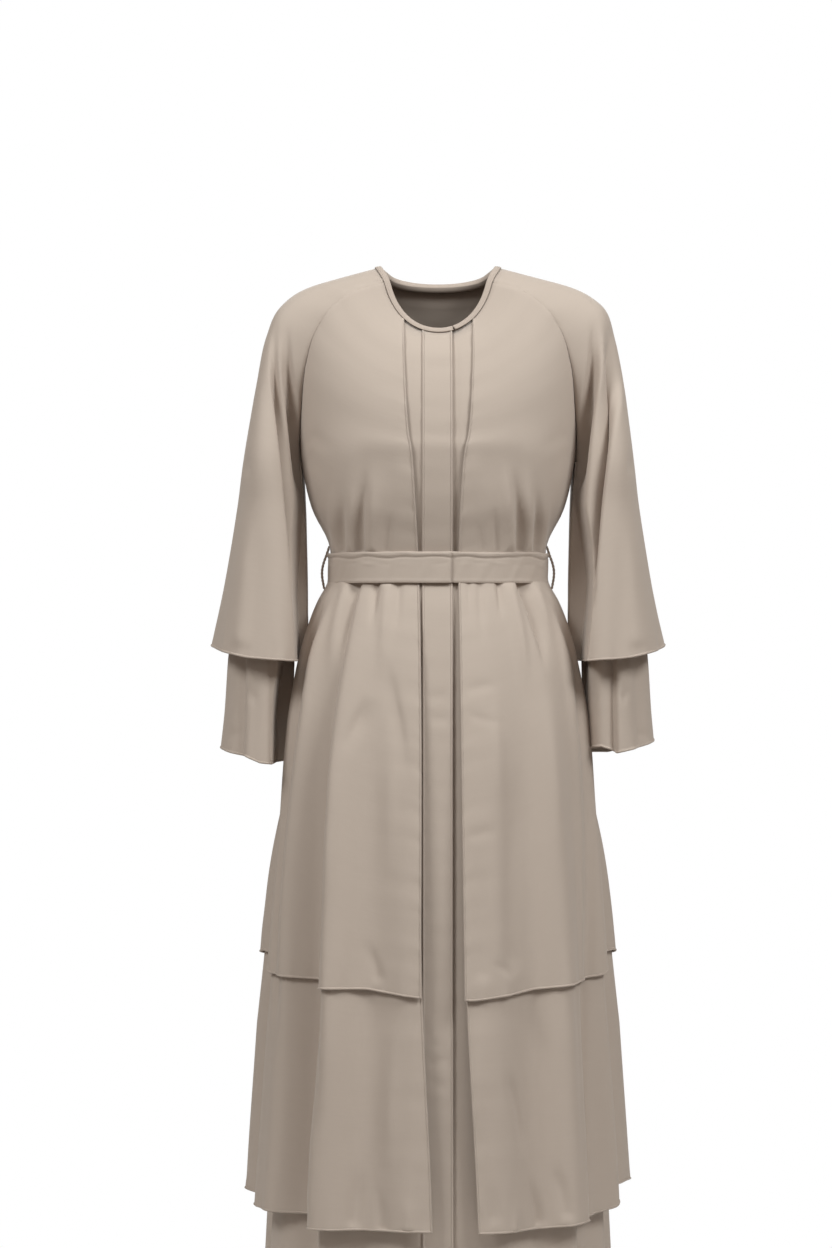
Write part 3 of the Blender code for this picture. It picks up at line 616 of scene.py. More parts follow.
def column(table, name, level):
    """One column of a table, read smoothly at level."""
    return along(table.level, getattr(table, name), level)


def section(known, keys, level, share):
    """Points at share along cubic arcs, and their slopes.

    The arcs' four control points keys are given at the levels known, and read smoothly at level.
    """
    a, b, c, d = (along(known, key, level) for key in keys)
    t = share[..., None]
    s = 1 - t
    point = s**3 * a + 3 * s**2 * t * b + 3 * s * t**2 * c + t**3 * d
    slope = 3 * s**2 * (b - a) + 6 * s * t * (c - b) + 3 * t**2 * (d - c)
    return point, slope


def stack(*columns):
    """Points or pairs from their columns, which are numbers or arrays."""
    return np.stack(np.broadcast_arrays(*[np.asarray(c, float) for c in columns]), axis=-1)


def unit(vectors):
    """The same directions at length 1."""
    return vectors / np.linalg.norm(vectors, axis=-1, keepdims=True)


def smooth_step(share):
    """0 up to 0, 1 from 1 on, and a smooth rise between."""
    t = np.clip(share, 0, 1)
    return t * t * (3 - 2 * t)


def growth(level, start, full):
    """0 at the level start and before it, 1 at the level full and past it, and a smooth rise between."""
    return smooth_step((level - start) / (full - start))


def body_arcs(yoke, ring_depth, facing):
    """Four control points of each section of a quarter of the body, from the centre to its outer edge."""
    centre = stack(0, yoke.centre_y, yoke.centre_z)
    seam = stack(yoke.seam_x, yoke.seam_y, yoke.seam_z)
    turn = np.radians(yoke.turn)
    reach = 0.55 * np.abs(yoke.centre_y - yoke.seam_y) / np.sin(turn)
    first = centre + stack(0.5 * yoke.seam_x, 0, 0)
    climb = yoke.rise * (yoke.seam_z - yoke.centre_z)
    last = seam - stack(reach * np.cos(turn), -facing * reach * np.sin(turn), climb)
    ring_centre = stack(0, facing * ring_depth, -RINGS.level)
    ring_side = stack(RINGS.half_width, 0, -RINGS.level)
    ring_first = ring_centre + stack(RINGS.full * RINGS.half_width, 0, 0)
    ring_last = ring_side + stack(0, facing * RINGS.full * ring_depth, 0)
    return [
        np.concatenate(pair)
        for pair in ((centre, ring_centre), (first, ring_first), (last, ring_last), (seam, ring_side))
    ]


BODY_LEVELS = np.concatenate([YOKE_FRONT.level, RINGS.level])
FRONT_ARCS = body_arcs(YOKE_FRONT, RINGS.front_depth, -1)
BACK_ARCS = body_arcs(YOKE_BACK, RINGS.back_depth, 1)


def bell(distance, width):
    """A soft ridge, 1 at its crest."""
    return np.exp(-((distance / width) ** 2))


def bump(distance, before, after):
    """A soft ridge, 1 at its crest, with its own width on each side."""
    return bell(distance, np.where(distance < 0, before, after))


def uneven(run, wave, start):
    """Waves of uneven length and height: three sines whose lengths have no common measure."""
    turn = 2 * np.pi * np.asarray(run) / wave
    waves = np.sin(turn + start) + 0.7 * np.sin(1.618 * turn + 2.3 * start)
    return (waves + 0.5 * np.sin(0.618 * turn + 4.1 * start)) / 2.2


def creases(table, x, down, across=1.0):
    """How far creases stand out: a bell curve of the distance from each one's bowed line.

    across is how many millimetres one unit of the table's x stands for.
    """
    total = np.zeros(np.broadcast(x, down).shape)
    for row in table.rows:
        run_x = (row["x1"] - row["x0"]) * across
        run_down = row["down1"] - row["down0"]
        length = np.hypot(run_x, run_down)
        off_x = (x - row["x0"]) * across
        off_down = down - row["down0"]
        t = (off_x * run_x + off_down * run_down) / length**2
        aside = (off_x * run_down - off_down * run_x) / length - 4 * row["bow"] * t * (1 - t)
        ends = smooth_step(t / row["fade0"]) * smooth_step((1 - t) / row["fade1"])
        total += row["out"] * bump(aside, row["left"], row["right"]) * ends
    return CREASE_DEPTH * total


def path_place(path, level):
    """Where a path of (x, level) is at each element of level. Past its ends it stays where it ended."""
    places, levels = np.array(path, float).T
    return along(levels, places, np.clip(level, levels[0], levels[-1]))


def lines(paths, x, level):
    """How far folds that follow paths stand out: a bell curve of the distance in x from each path."""
    total = np.zeros(np.broadcast(x, level).shape)
    for path, (left, right, out, start, full, fading, last) in paths:
        grown = growth(level, start, full) * growth(level, last, fading)
        total += out * grown * bump(x - path_place(path, level), left, right)
    return total


def recessed(points, tier, side, start, full):
    """Points of a tube, its front moved back to its inner side on the body's side of the fold's edge.

    The recess deepens from the level start to the level full, and its edge gets sharper at the elbow.
    """
    level = -points[..., 2]
    place = path_place(RECESSES[f"{tier}_{side}"], level)
    edge = RECESS_EDGE - (RECESS_EDGE - RECESS_SHARP_EDGE) * growth(level, 330, 420)
    share = smooth_step((place + 1.5 - points[..., 0]) / edge) * growth(level, start, full)
    back = share * np.clip(RECESS_DEPTH[tier] - points[..., 1], 0, None)
    return points + back[..., None] * (0, 1, 0)


def fold_growth(level):
    """How far a fold has grown: 0 at the belt, 1 at the outer hem, a little more at the lower hems."""
    return np.clip((level - FOLD_START) / (OUTER_HEM - FOLD_START), 0, 1.15)


def fold_place(belt, hem, level):
    """Where a fold's crest is at this level, in degrees."""
    turned = (hem - belt + 180) % 360 - 180
    return belt + turned * np.minimum(fold_growth(level), 1) ** 0.6


def skirt_folds(level, angle):
    """How far the cloth stands out from its plain form."""
    total = np.zeros(np.broadcast(level, angle).shape)
    for fold in SKIRT_FOLDS.rows:
        distance = (angle - fold_place(fold["belt"], fold["hem"], level) + 180) % 360 - 180
        total += fold["out"] * bump(distance, fold["before"], fold["after"])
    return total * fold_growth(level) ** 0.9


def arm_hollow(level, angle):
    """The hanging arm keeps the skirt back beside the hip, and the belt draws the sides in above it."""
    beside = bump(np.abs(angle) - HOLLOW_ANGLE, 9, 30)
    drawn = bell(np.abs(angle) - 90, 34) * bell(level - DRAW_LEVEL, 30)
    return -ARM_HOLLOW * beside * bell(level - WRIST, 115) - BELT_DRAW * drawn


class Layer:
    """How a layer lies in the garment: its inset, its share of the folds, and creases of its own."""

    def __init__(self, inset, fold_share=1.0, front=None, back=None):
        self.inset = inset
        self.fold_share = fold_share
        self.front = front
        self.back = back

    def moved_in(self, distance):
        """The same layer, this much further in, or further out where the distance is negative."""
        return Layer(lambda level: self.inset(level) + distance, self.fold_share, self.front, self.back)


OUTER = Layer(lambda level: np.zeros(np.shape(level)), 1.0, OUTER_FRONT, OUTER_BACK)
MIDDLE = Layer(lambda level: column(INSET, "middle", level), 1.0, MIDDLE_FRONT, MIDDLE_BACK)
BASE = Layer(lambda level: column(INSET, "base", level), 0.6, BASE_FRONT)
STAND = BASE.moved_in(-NEST)


def body(level, angle, back, layer):
    """Points of the body at level, at angle degrees round from centre front.

    Each point is on the plain section, moved along its normal by the folds, the creases and the inset.
    """
    level, angle = np.broadcast_arrays(np.asarray(level, float), np.asarray(angle, float))
    angle = (angle + 180) % 360 - 180
    side = np.where(angle < 0, -1.0, 1.0)
    turn = np.abs(angle) / 90
    share, arcs = (2 - turn, BACK_ARCS) if back else (turn, FRONT_ARCS)
    point, around = section(BODY_LEVELS, arcs, level, share)
    below = section(BODY_LEVELS, arcs, level + 0.5, share)[0]
    down = below - section(BODY_LEVELS, arcs, level - 0.5, share)[0]
    normal = unit(np.cross(around, down) if back else np.cross(down, around))
    out = layer.fold_share * skirt_folds(level, angle) + arm_hollow(level, angle) - layer.inset(level)
    x, drop = side * point[..., 0], -point[..., 2]
    room = BELT_ROOM + 0.4 * np.clip(np.abs(drop - WAIST) - BELT_HEIGHT / 2, 0, None)
    out = out + np.minimum(creases(WAIST_BACK if back else WAIST_FRONT, x, drop), room)
    own = layer.back if back else layer.front
    if own:
        out = out + OWN_DEPTH * creases(own, x, drop)
    if not back:
        out = out + layer.fold_share * lines(SIDE_LINES, x, drop)
    moved = point + normal * out[..., None]
    moved[..., 0] *= side
    return moved


def angle_at_x(levels, x, layer):
    """The angle at which the front lies at this distance from centre front, one for each level."""
    tries = np.linspace(-75, 75, 301)
    found = body(np.repeat(levels[:, None], len(tries), 1), tries[None, :], False, layer)[..., 0]
    rising = np.maximum.accumulate(found, axis=1)
    wanted = np.broadcast_to(x, levels.shape)
    return np.array([np.interp(where, row, tries) for where, row in zip(wanted, rising)])


def drop_to_hem(levels, hem, start, wave):
    """Spread the rows below start so that the last one follows the hem's waves."""
    share = np.clip((levels - start) / (levels[-1] - start), 0, 1)
    return levels[:, None] + share[:, None] * (hem - levels[-1] + wave)


def hem_wave(name, angle):
    """How far below its plain level a skirt's hem is, at angle."""
    return np.interp((angle + 180) % 360 - 180, HEM_WAVES.angle, getattr(HEM_WAVES, name))


def sleeve_keys():
    """Control points of the two arcs, front and back, of each section of the left sleeve."""
    cap = SLEEVE_CAP
    top = stack(cap.x, cap.y, cap.z)

    def seam_end(yoke, reach, angle, facing):
        """The seam's points, and the control points next to them."""
        seam = stack(yoke.seam_x, yoke.seam_y, yoke.seam_z)
        turn = np.radians(angle)
        lift = 0.4 * (top[:, 2] - seam[:, 2])
        return seam, seam + stack(reach * np.cos(turn), facing * reach * np.sin(turn), lift)

    front_seam, after_seam = seam_end(YOKE_FRONT, cap.front_reach, cap.front_angle, 1)
    back_seam, before_seam = seam_end(YOKE_BACK, cap.back_reach, cap.back_angle, -1)
    front = [front_seam, after_seam, top + stack(0, -cap.front_full, 0), top]
    return front, [top, top + stack(0, cap.back_full, 0), before_seam, back_seam]


def tube_keys(table):
    """The same control points for level tubes."""
    inner = stack(table.inner_x, table.inner_y, -table.level)
    outer = stack(table.outer_x, table.outer_y, -table.level)
    turn_in, turn_out = np.radians(table.inner_angle), np.radians(table.outer_angle)
    ahead_in = stack(np.sin(turn_in), -np.cos(turn_in), 0)
    ahead_out = stack(np.sin(turn_out), -np.cos(turn_out), 0)
    front_in, front_out, back_out, back_in = (
        getattr(table, name)[:, None] for name in ("front_in", "front_out", "back_out", "back_in")
    )
    front = [inner, inner + front_in * ahead_in, outer + front_out * ahead_out, outer]
    return front, [outer, outer - back_out * ahead_out, inner - back_in * ahead_in, inner]


OUTER_SLEEVE_LEVELS = np.concatenate([SLEEVE_CAP.level, OUTER_SLEEVE.level])
OUTER_SLEEVE_KEYS = [
    [np.concatenate(pair) for pair in zip(upper, lower)]
    for upper, lower in zip(sleeve_keys(), tube_keys(OUTER_SLEEVE))
]


def sleeve_fold_place(fold, level):
    """Where a sleeve fold's crest is at this level, as a share of the way round."""
    places = np.array([fold[name] for name in ("cap", "upper", "underarm", "elbow", "hem")], float)
    return along(SLEEVE_FOLD_LEVELS, places, np.clip(level, SLEEVE_FOLD_TOP, OUTER_SLEEVE_HEM))


def sleeve_folds(level, share):
    """How far the sleeve's long folds stand out: nothing on the shoulder, all of it further down."""
    total = np.zeros(np.broadcast(level, share).shape)
    grown = growth(level, SLEEVE_FOLD_START, OUTER_SLEEVE_HEM)
    for fold in SLEEVE_FOLDS.rows:
        distance = share - sleeve_fold_place(fold, level)
        total += fold["out"] * grown * bump(distance, fold["before"], fold["after"])
    return total


def on_front(share):
    """1 on the front of a sleeve and 0 on its back, with a short slope between."""
    return smooth_step(share / 0.03) * smooth_step((0.5 - share) / 0.05)


def sleeve(known, keys, level, share, fold_size, inset):
    """Points of the left sleeve at level, at share of the way round from the underarm.

    Half way round, by the front, is the outer side. known and keys are the levels and the control points
    of the sections that the sleeve is lofted through.
    """
    level, share = np.broadcast_arrays(np.asarray(level, float), np.asarray(share, float))
    in_front = (share <= 0.5)[..., None]
    halves = (np.clip(2 * share, 0, 1), np.clip(2 * share - 1, 0, 1))

    def plain(at):
        both = [section(known, arc, at, t) for arc, t in zip(keys, halves)]
        return [np.where(in_front, front, rear) for front, rear in zip(*both)]

    point, around = plain(level)
    down = plain(level + 0.5)[0] - plain(level - 0.5)[0]
    normal = unit(np.cross(down, around))
    out = fold_size * sleeve_folds(level, share) - inset
    return point + normal * out[..., None]


def outer_sleeve(level, share, inset=0, side="left"):
    """Points of the upper tier, with its folds, its shoulder and the deep fold beside the body."""
    points = sleeve(OUTER_SLEEVE_LEVELS, OUTER_SLEEVE_KEYS, level, share, 1, inset)
    share = np.broadcast_to(share, points.shape[:-1])
    out = on_front(share) * lines(SLEEVE_LINES[side], points[..., 0], -points[..., 2])
    out = out + SHOULDER_OUT[side] * bell(share - 0.5, 0.2) * bump(level - SHOULDER_LEVEL, 40, 70)
    return recessed(points + out[..., None] * outward_of(level, share), "outer", side, 232, 290)


def outward_of(level, share):
    """The outward directions of the plain outer sleeve."""
    out, plain = (
        sleeve(OUTER_SLEEVE_LEVELS, OUTER_SLEEVE_KEYS, level, share, 0, inset) for inset in (-1, 0)
    )
    return out - plain


def under_sleeve(level, share, side="left"):
    """Points of the lower tier. Its top edge is sewn inside the outer sleeve, and leaves it as that flares.

    share has one row. Each column of points runs smoothly through its points on the known sections.
    """
    top_levels = np.array([[UNDER_SLEEVE_SEAM - 20], [UNDER_SLEEVE_SEAM]])
    top = outer_sleeve(top_levels, share, NEST + SLEEVE_EASE, side)
    low_levels = UNDER_SLEEVE.level
    low = sleeve(low_levels, tube_keys(UNDER_SLEEVE), low_levels[:, None], share, UNDER_FOLD_SHARE, 0)
    knots = np.concatenate([top_levels.ravel(), low_levels])
    weights = along(knots, np.eye(len(knots)), level)
    points = np.einsum("rck,kcx->rcx", weights, np.concatenate([top, low]))
    return recessed(points, "under", side, 300, 340)


def sleeve_wave(name, share):
    """How far below its plain level a sleeve's hem is, at share of the way round."""
    return np.interp(share, SLEEVE_HEM_WAVES.along, getattr(SLEEVE_HEM_WAVES, name))


# Distances from an edge at which the grid has its own rows or columns.
ROLLED_STEPS = np.append(ROLL * (1 - np.cos(np.linspace(0, np.pi, 8))), [3.6, 5.2, 8.0])
SEWN_STEPS = np.array([0, 0.5, 1.2, 2.2, 3.6, 5.6, 8.0])
STEPS = {"rolled": ROLLED_STEPS, "sewn": SEWN_STEPS, "plain": np.array([0, 8.0])}


def rows_to(*stops, kind="rolled"):
    """Levels from the first stop to the last. Each stop but the last is (level, spacing below it)."""
    end = stops[-1]
    bottom = end - STEPS[kind][::-1]
    limits = [stop[0] for stop in stops[:-1]] + [bottom[0]]
    parts = []
    for (start, spacing), limit in zip(stops[:-1], limits[1:]):
        parts.append(np.linspace(start, limit, max(2, round((limit - start) / spacing)) + 1)[:-1])
    return np.concatenate([*parts, bottom])


def places_across(width, kinds, count, dense=(1.0, 1.0)):
    """Distances from the first edge, row by row: close together at both edges, and even between them.

    dense is a pair of shares: the first one of the places lies on the second one of the width.
    """
    near, far = STEPS[kinds[0]], STEPS[kinds[1]][::-1]
    inner = np.interp(np.linspace(0, 1, count + 2)[1:-1], [0, dense[0], 1], [0, dense[1], 1])
    middle = near[-1] + (width[:, None] - near[-1] - far[0]) * inner
    first = np.broadcast_to(near, (len(width), len(near)))
    return np.concatenate([first, middle, width[:, None] - far], axis=1)


def measured(points):
    """Lengths along each row of points, from its first."""
    steps = np.linalg.norm(np.diff(points, axis=1), axis=-1)
    return np.concatenate([np.zeros((len(points), 1)), np.cumsum(steps, axis=1)], axis=1)


def normals(points, closed_from=None):
    """Directions out of the cloth: down the rows crossed with along them, by differences of neighbours."""
    along_row = np.gradient(points, axis=1)
    if closed_from is not None:
        over_seam = (points[closed_from:, 1] - points[closed_from:, -2]) / 2
        along_row[closed_from:, 0] = over_seam
        along_row[closed_from:, -1] = over_seam
    return unit(np.cross(np.gradient(points, axis=0), along_row))


def half_thickness(gap):
    """Half the cloth's thickness at this distance from a hem: a round roll, then plain cloth."""
    roll = np.sqrt(np.clip(ROLL**2 - (gap - ROLL) ** 2, 0, None))
    return np.where(gap < ROLL, np.maximum(roll, 0.12), np.maximum(roll, CLOTH / 2))


def sewn_edge(gap, run, start):
    """The cloth turns in towards a seam and puckers beside it."""
    return -SEAM_DIP * bell(gap, SEAM_TURN) + 0.22 * uneven(run, 11, start) * bell(gap, 9)


def hem_ripple(gap, run, start, size=1.0):
    """A hem's own small waves, which die away from its edge."""
    long_waves = 1.35 * uneven(run, 47, start) * np.exp(-gap / 34)
    return size * (long_waves + 0.55 * uneven(run, 17, start) * np.exp(-gap / 9))


# The distance that stands for an edge which a piece doesn't have.
FAR = 100.0


class Sheet:
    """A grid of points on a piece of cloth, with its lengths across and down and its edges' kinds."""

    def __init__(self, points, across, kinds, hem="rolled", closed_from=None, start=0.0, ripple=1.0):
        self.points = points
        self.across = across
        self.width = across[:, -1:]
        self.kinds = kinds
        self.hem = hem
        self.closed_from = closed_from
        steps = np.linalg.norm(np.diff(points, axis=0), axis=-1)
        self.down = np.concatenate([np.zeros((1, points.shape[1])), np.cumsum(steps, axis=0)])
        self.to_hem = self.down[-1:] - self.down
        self.turn_out()
        self.finish_edges(start, ripple)

    def turn_out(self):
        """Reverse the columns where down crossed with along would point into the garment."""
        row, place = len(self.points) // 2, self.points.shape[1] // 2
        middle = self.points[row, place]
        across = self.points[row, place + 1] - middle
        down = self.points[row + 1, place] - middle
        outward = middle * (1, 1, 0)
        if abs(middle[0]) > 180:
            outward = middle * (1, 1, 0) - self.points[row].mean(axis=0) * (1, 1, 0)
        if np.dot(np.cross(down, across), outward) < 0:
            self.points = self.points[:, ::-1]
            self.across = self.width - self.across[:, ::-1]
            self.down = self.down[:, ::-1]
            self.to_hem = self.to_hem[:, ::-1]
            self.kinds = self.kinds[::-1]

    def finish_edges(self, start, ripple):
        """Move the edges as they are sewn or hemmed, and thicken the rolled ones."""
        gaps = (self.across, self.width - self.across)
        out = np.zeros(self.across.shape)
        side = np.full(self.across.shape, FAR)
        for kind, gap, seed in zip(self.kinds, gaps, (0.7, 2.9)):
            if kind == "sewn":
                out += sewn_edge(gap, self.down, start + seed)
            if kind == "rolled":
                out += hem_ripple(gap, self.down, start + seed, 0.5 * ripple)
                side = np.minimum(side, gap)
        low = np.full(self.across.shape, FAR)
        if self.hem == "rolled":
            low = self.to_hem
            out += hem_ripple(low, self.across, start + 5.1, ripple)
        self.side, self.low = side, low
        self.points = self.points + normals(self.points, self.closed_from) * out[..., None]
        self.half = half_thickness(np.minimum(side, low))


def mesh_object(name, vertices, faces, finish, layouts=()):
    """A smooth mesh from arrays. layouts gives UV maps: a name, and a pair for each face corner."""
    used, faces = np.unique(faces, return_inverse=True)
    faces = faces.reshape(-1, 4)
    mesh = bpy.data.meshes.new(name)
    mesh.from_pydata((vertices[used] * MM).tolist(), [], faces.tolist())
    for layout, pairs in layouts:
        mesh.uv_layers.new(name=layout).data.foreach_set("uv", np.asarray(pairs, np.float32).ravel())
    mesh.materials.append(finish)
    mesh.shade_smooth()
    made = bpy.data.objects.new(name, mesh)
    bpy.context.scene.collection.objects.link(made)
    return made


def grid_quads(index):
    """Corner indices of a grid's quads, wound to face the side that down cross along points to."""
    corners = [index[:-1, :-1], index[1:, :-1], index[1:, 1:], index[:-1, 1:]]
    return np.stack(corners, axis=-1).reshape(-1, 4)


def strip_quads(near, far):
    """Quads between two lines of indices."""
    return np.stack([near[:-1], near[1:], far[1:], far[:-1]], axis=-1)


def cap_quads(ring):
    """Quads across a ring of indices, from its start and its end to the middle."""
    half = len(ring) // 2
    return strip_quads(ring[:half], ring[::-1][:half])


def shell(name, sheet, finish):
    """Both faces of a sheet of cloth, half its thickness to each side of it, and the rims between them."""
    rows, columns = sheet.across.shape
    out = normals(sheet.points, sheet.closed_from) * sheet.half[..., None]
    vertices = np.concatenate([(sheet.points + out).reshape(-1, 3), (sheet.points - out).reshape(-1, 3)])
    plain = np.arange(rows * columns).reshape(rows, columns)
    front, back = plain, plain + rows * columns
    open_rows = rows if sheet.closed_from is None else sheet.closed_from + 1
    corners = [
        grid_quads(front),
        grid_quads(back)[:, ::-1],
        strip_quads(front[0], back[0]),
        strip_quads(back[-1], front[-1]),
        strip_quads(back[:open_rows, 0], front[:open_rows, 0]),
        strip_quads(front[:open_rows, -1], back[:open_rows, -1]),
    ]
    corners = np.concatenate(corners)
    meet = np.arange(2 * rows * columns)
    if sheet.closed_from is not None:
        for side in (front, back):
            meet[side[sheet.closed_from :, -1]] = side[sheet.closed_from :, 0]
    cloth = np.stack([sheet.across, sheet.down], axis=-1).reshape(-1, 2) * MM
    edges = np.stack([sheet.side, sheet.low], axis=-1).reshape(-1, 2) * MM
    layouts = [
        ("cloth", np.concatenate([cloth, cloth])[corners]),
        ("edges", np.concatenate([edges, edges])[corners]),
    ]
    return mesh_object(name, vertices, meet[corners], finish, layouts)


def seam_angle(levels, layer, back, side):
    """Just short of the side or raglan seam."""
    inward = 1 if back else -1
    far = np.full(len(levels), 90.0)
    gap = np.linalg.norm(body(levels, far, back, layer) - body(levels, far + inward, back, layer), axis=-1)
    angle = 90 + inward * SEAM_PULL / gap
    return angle if side > 0 else (360 - angle if back else -angle)


def panel(levels, first, last, back, layer, hem, wave, kinds, count, start, ripple=1.0):
    """A cut piece of the body between two lines of angles, its last row on the hem."""
    tries = first[:, None] + (last - first)[:, None] * np.linspace(0, 1, 120)
    lengths = measured(body(levels[:, None], tries, back, layer))
    across = places_across(lengths[:, -1], kinds, count)
    angles = np.array([np.interp(a, length, t) for a, length, t in zip(across, lengths, tries)])
    level = drop_to_hem(levels, hem, HEM_START, wave(angles))
    return Sheet(body(level, angles, back, layer), across, kinds, start=start, ripple=ripple)


class Field:
    """A number, colour or direction in a material's nodes. Arithmetic and comparisons add Math nodes."""

    def __init__(self, tree, socket):
        self.tree = tree
        self.socket = socket

    def via(self, kind, output=0, settings=None, **inputs):
        """Any node, with its settings. Its inputs are named as the sockets are, or by i and a number."""
        node = self.tree.nodes.new(kind)
        for name, value in (settings or {}).items():
            setattr(node, name, value)
        for name, value in inputs.items():
            socket = node.inputs[int(name[1:]) if name[1:].isdigit() else name.replace("_", " ")]
            if isinstance(value, Field):
                self.tree.links.new(value.socket, socket)
            else:
                socket.default_value = value
        return Field(self.tree, node.outputs[output])

    def math(self, operation, *others):
        values = {f"i{k}": value for k, value in enumerate((self, *others))}
        return self.via("ShaderNodeMath", 0, {"operation": operation}, **values)

    def __add__(self, other):
        return self.math("ADD", other)

    def __sub__(self, other):
        return self.math("SUBTRACT", other)

    def __rsub__(self, other):
        return self.via("ShaderNodeMath", 0, {"operation": "SUBTRACT"}, i0=other, i1=self)

    def __mul__(self, other):
        return self.math("MULTIPLY", other)

    __radd__ = __add__
    __rmul__ = __mul__

    def __lt__(self, other):
        return self.math("LESS_THAN", other)

    def __gt__(self, other):
        return self.math("GREATER_THAN", other)

    def mixed(self, low, high):
        """The colour low where the field is 0 and high where it is 1."""
        return self.via("ShaderNodeMix", 2, {"data_type": "RGBA"}, i0=self, i6=(*low, 1), i7=(*high, 1))

    def noise(self, scale, detail, roughness=0.5, stretch=(1, 1, 1)):
        """Noise between 0 and 1 of this many grains to a metre, the direction stretched on each axis."""
        moved = self.via("ShaderNodeMapping", 0, None, Vector=self, Scale=stretch)
        sizes = {"Scale": scale, "Detail": detail, "Roughness": roughness}
        return moved.via("ShaderNodeTexNoise", 0, None, Vector=moved, **sizes)


# The threads of the edges, in metres, and in threads or stitches to a metre where a rate is meant.
STITCH_INSET = 0.0026
STITCH_HALF_WIDTH = 0.0004
STITCH_RATE = 340
OVERCAST_BAND = 0.0027
OVERCAST_TURN = 5200


def crepe(name, shade, stitched=False):
    """Matt crepe: a pebbled weave with fine cross slubs, a soft sheen, and its hems' threads.

    The weave lies in the piece's own layout, so it follows the cloth. Overcast threads cover rolled hems;
    a stitched piece has a line of stitches along its edges instead.
    """
    made = bpy.data.materials.new(name)
    made.use_nodes = True
    tree = made.node_tree
    shader = tree.nodes["Principled BSDF"]
    start = Field(tree, None)
    cloth = start.via("ShaderNodeUVMap", 0, {"uv_map": "cloth"})
    edges = start.via("ShaderNodeUVMap", 0, {"uv_map": "edges"})
    run = cloth.via("ShaderNodeSeparateXYZ", 0, None, i0=cloth)
    fall = Field(tree, run.socket.node.outputs[1])
    side = edges.via("ShaderNodeSeparateXYZ", 0, None, i0=edges)
    low = Field(tree, side.socket.node.outputs[1])
    place = start.via("ShaderNodeTexCoord", 3)

    pebbles = cloth.noise(900, 2, 0.6, (1, 0.62, 1))
    slubs = cloth.noise(210, 3, 0.6, (0.12, 1, 1))
    crinkle = cloth.noise(120, 3, 0.55, (1, 0.45, 1))
    cloudy = place.noise(7, 2, 0.5, (1, 1, 0.35))
    grain = pebbles * 0.45 + slubs * 0.35 + crinkle * 0.5

    light = tuple(min(1.0, 1.06 * c) for c in shade)
    dark = tuple(0.93 * c for c in shade)
    tone = cloudy * 0.55 + slubs * 0.25 + pebbles * 0.2
    colour = tone.mixed(dark, light)
    tree.links.new(colour.socket, shader.inputs["Base Color"])

    rough = grain * 0.08 + 0.76
    tree.links.new(rough.socket, shader.inputs["Roughness"])
    shader.inputs["Specular IOR Level"].default_value = 0.28
    shader.inputs["Sheen Weight"].default_value = 0.22
    shader.inputs["Sheen Roughness"].default_value = 0.45
    shader.inputs["Sheen Tint"].default_value = (0.95, 0.92, 0.88, 1)

    if stitched:
        dash = (fall * STITCH_RATE).math("FRACT").math("PINGPONG", 0.5) > 0.12
        line = (side - STITCH_INSET).math("ABSOLUTE") < STITCH_HALF_WIDTH
        threads = line * dash
        height = 0.0004
    else:
        over_side = (fall * OVERCAST_TURN).math("SINE") * (side < OVERCAST_BAND)
        over_low = (run * OVERCAST_TURN).math("SINE") * (low < OVERCAST_BAND)
        threads = over_side + over_low
        height = 0.00012
    weave = start.via("ShaderNodeBump", 0, None, Strength=0.5, Distance=0.0004, Height=grain)
    sewn = start.via("ShaderNodeBump", 0, None, Strength=0.8, Distance=height, Height=threads, Normal=weave)
    tree.links.new(sewn.socket, shader.inputs["Normal"])
    return made


def dress(piece, node):
    """Put a piece on the garment in place of its solid."""
    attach(piece, "root")
    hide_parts(node)


def make_open_layer(name, levels, layer, hem, finish, counts):
    """An open-fronted layer: two fronts and a back, sewn at the side and raglan seams."""
    wave = functools.partial(hem_wave, name)
    for side, sign in (("left", 1), ("right", -1)):
        edge = angle_at_x(levels, column(FRONT_EDGES, name + "_" + side, levels), layer)
        seam = seam_angle(levels, layer, False, sign)
        kinds = ("rolled", "sewn")
        sheet = panel(levels, edge, seam, False, layer, hem, wave, kinds, counts[0], sign * 1.3 + hem)
        piece = shell(f"cloth_{name}_front_{side}", sheet, finish)
        dress(piece, f"{name}_front_{side}")
    left, right = seam_angle(levels, layer, True, 1), seam_angle(levels, layer, True, -1)
    sheet = panel(levels, left, right, True, layer, hem, wave, ("sewn", "sewn"), counts[1], 2.2 + hem)
    piece = shell(f"cloth_{name}_back", sheet, finish)
    dress(piece, f"{name}_back")


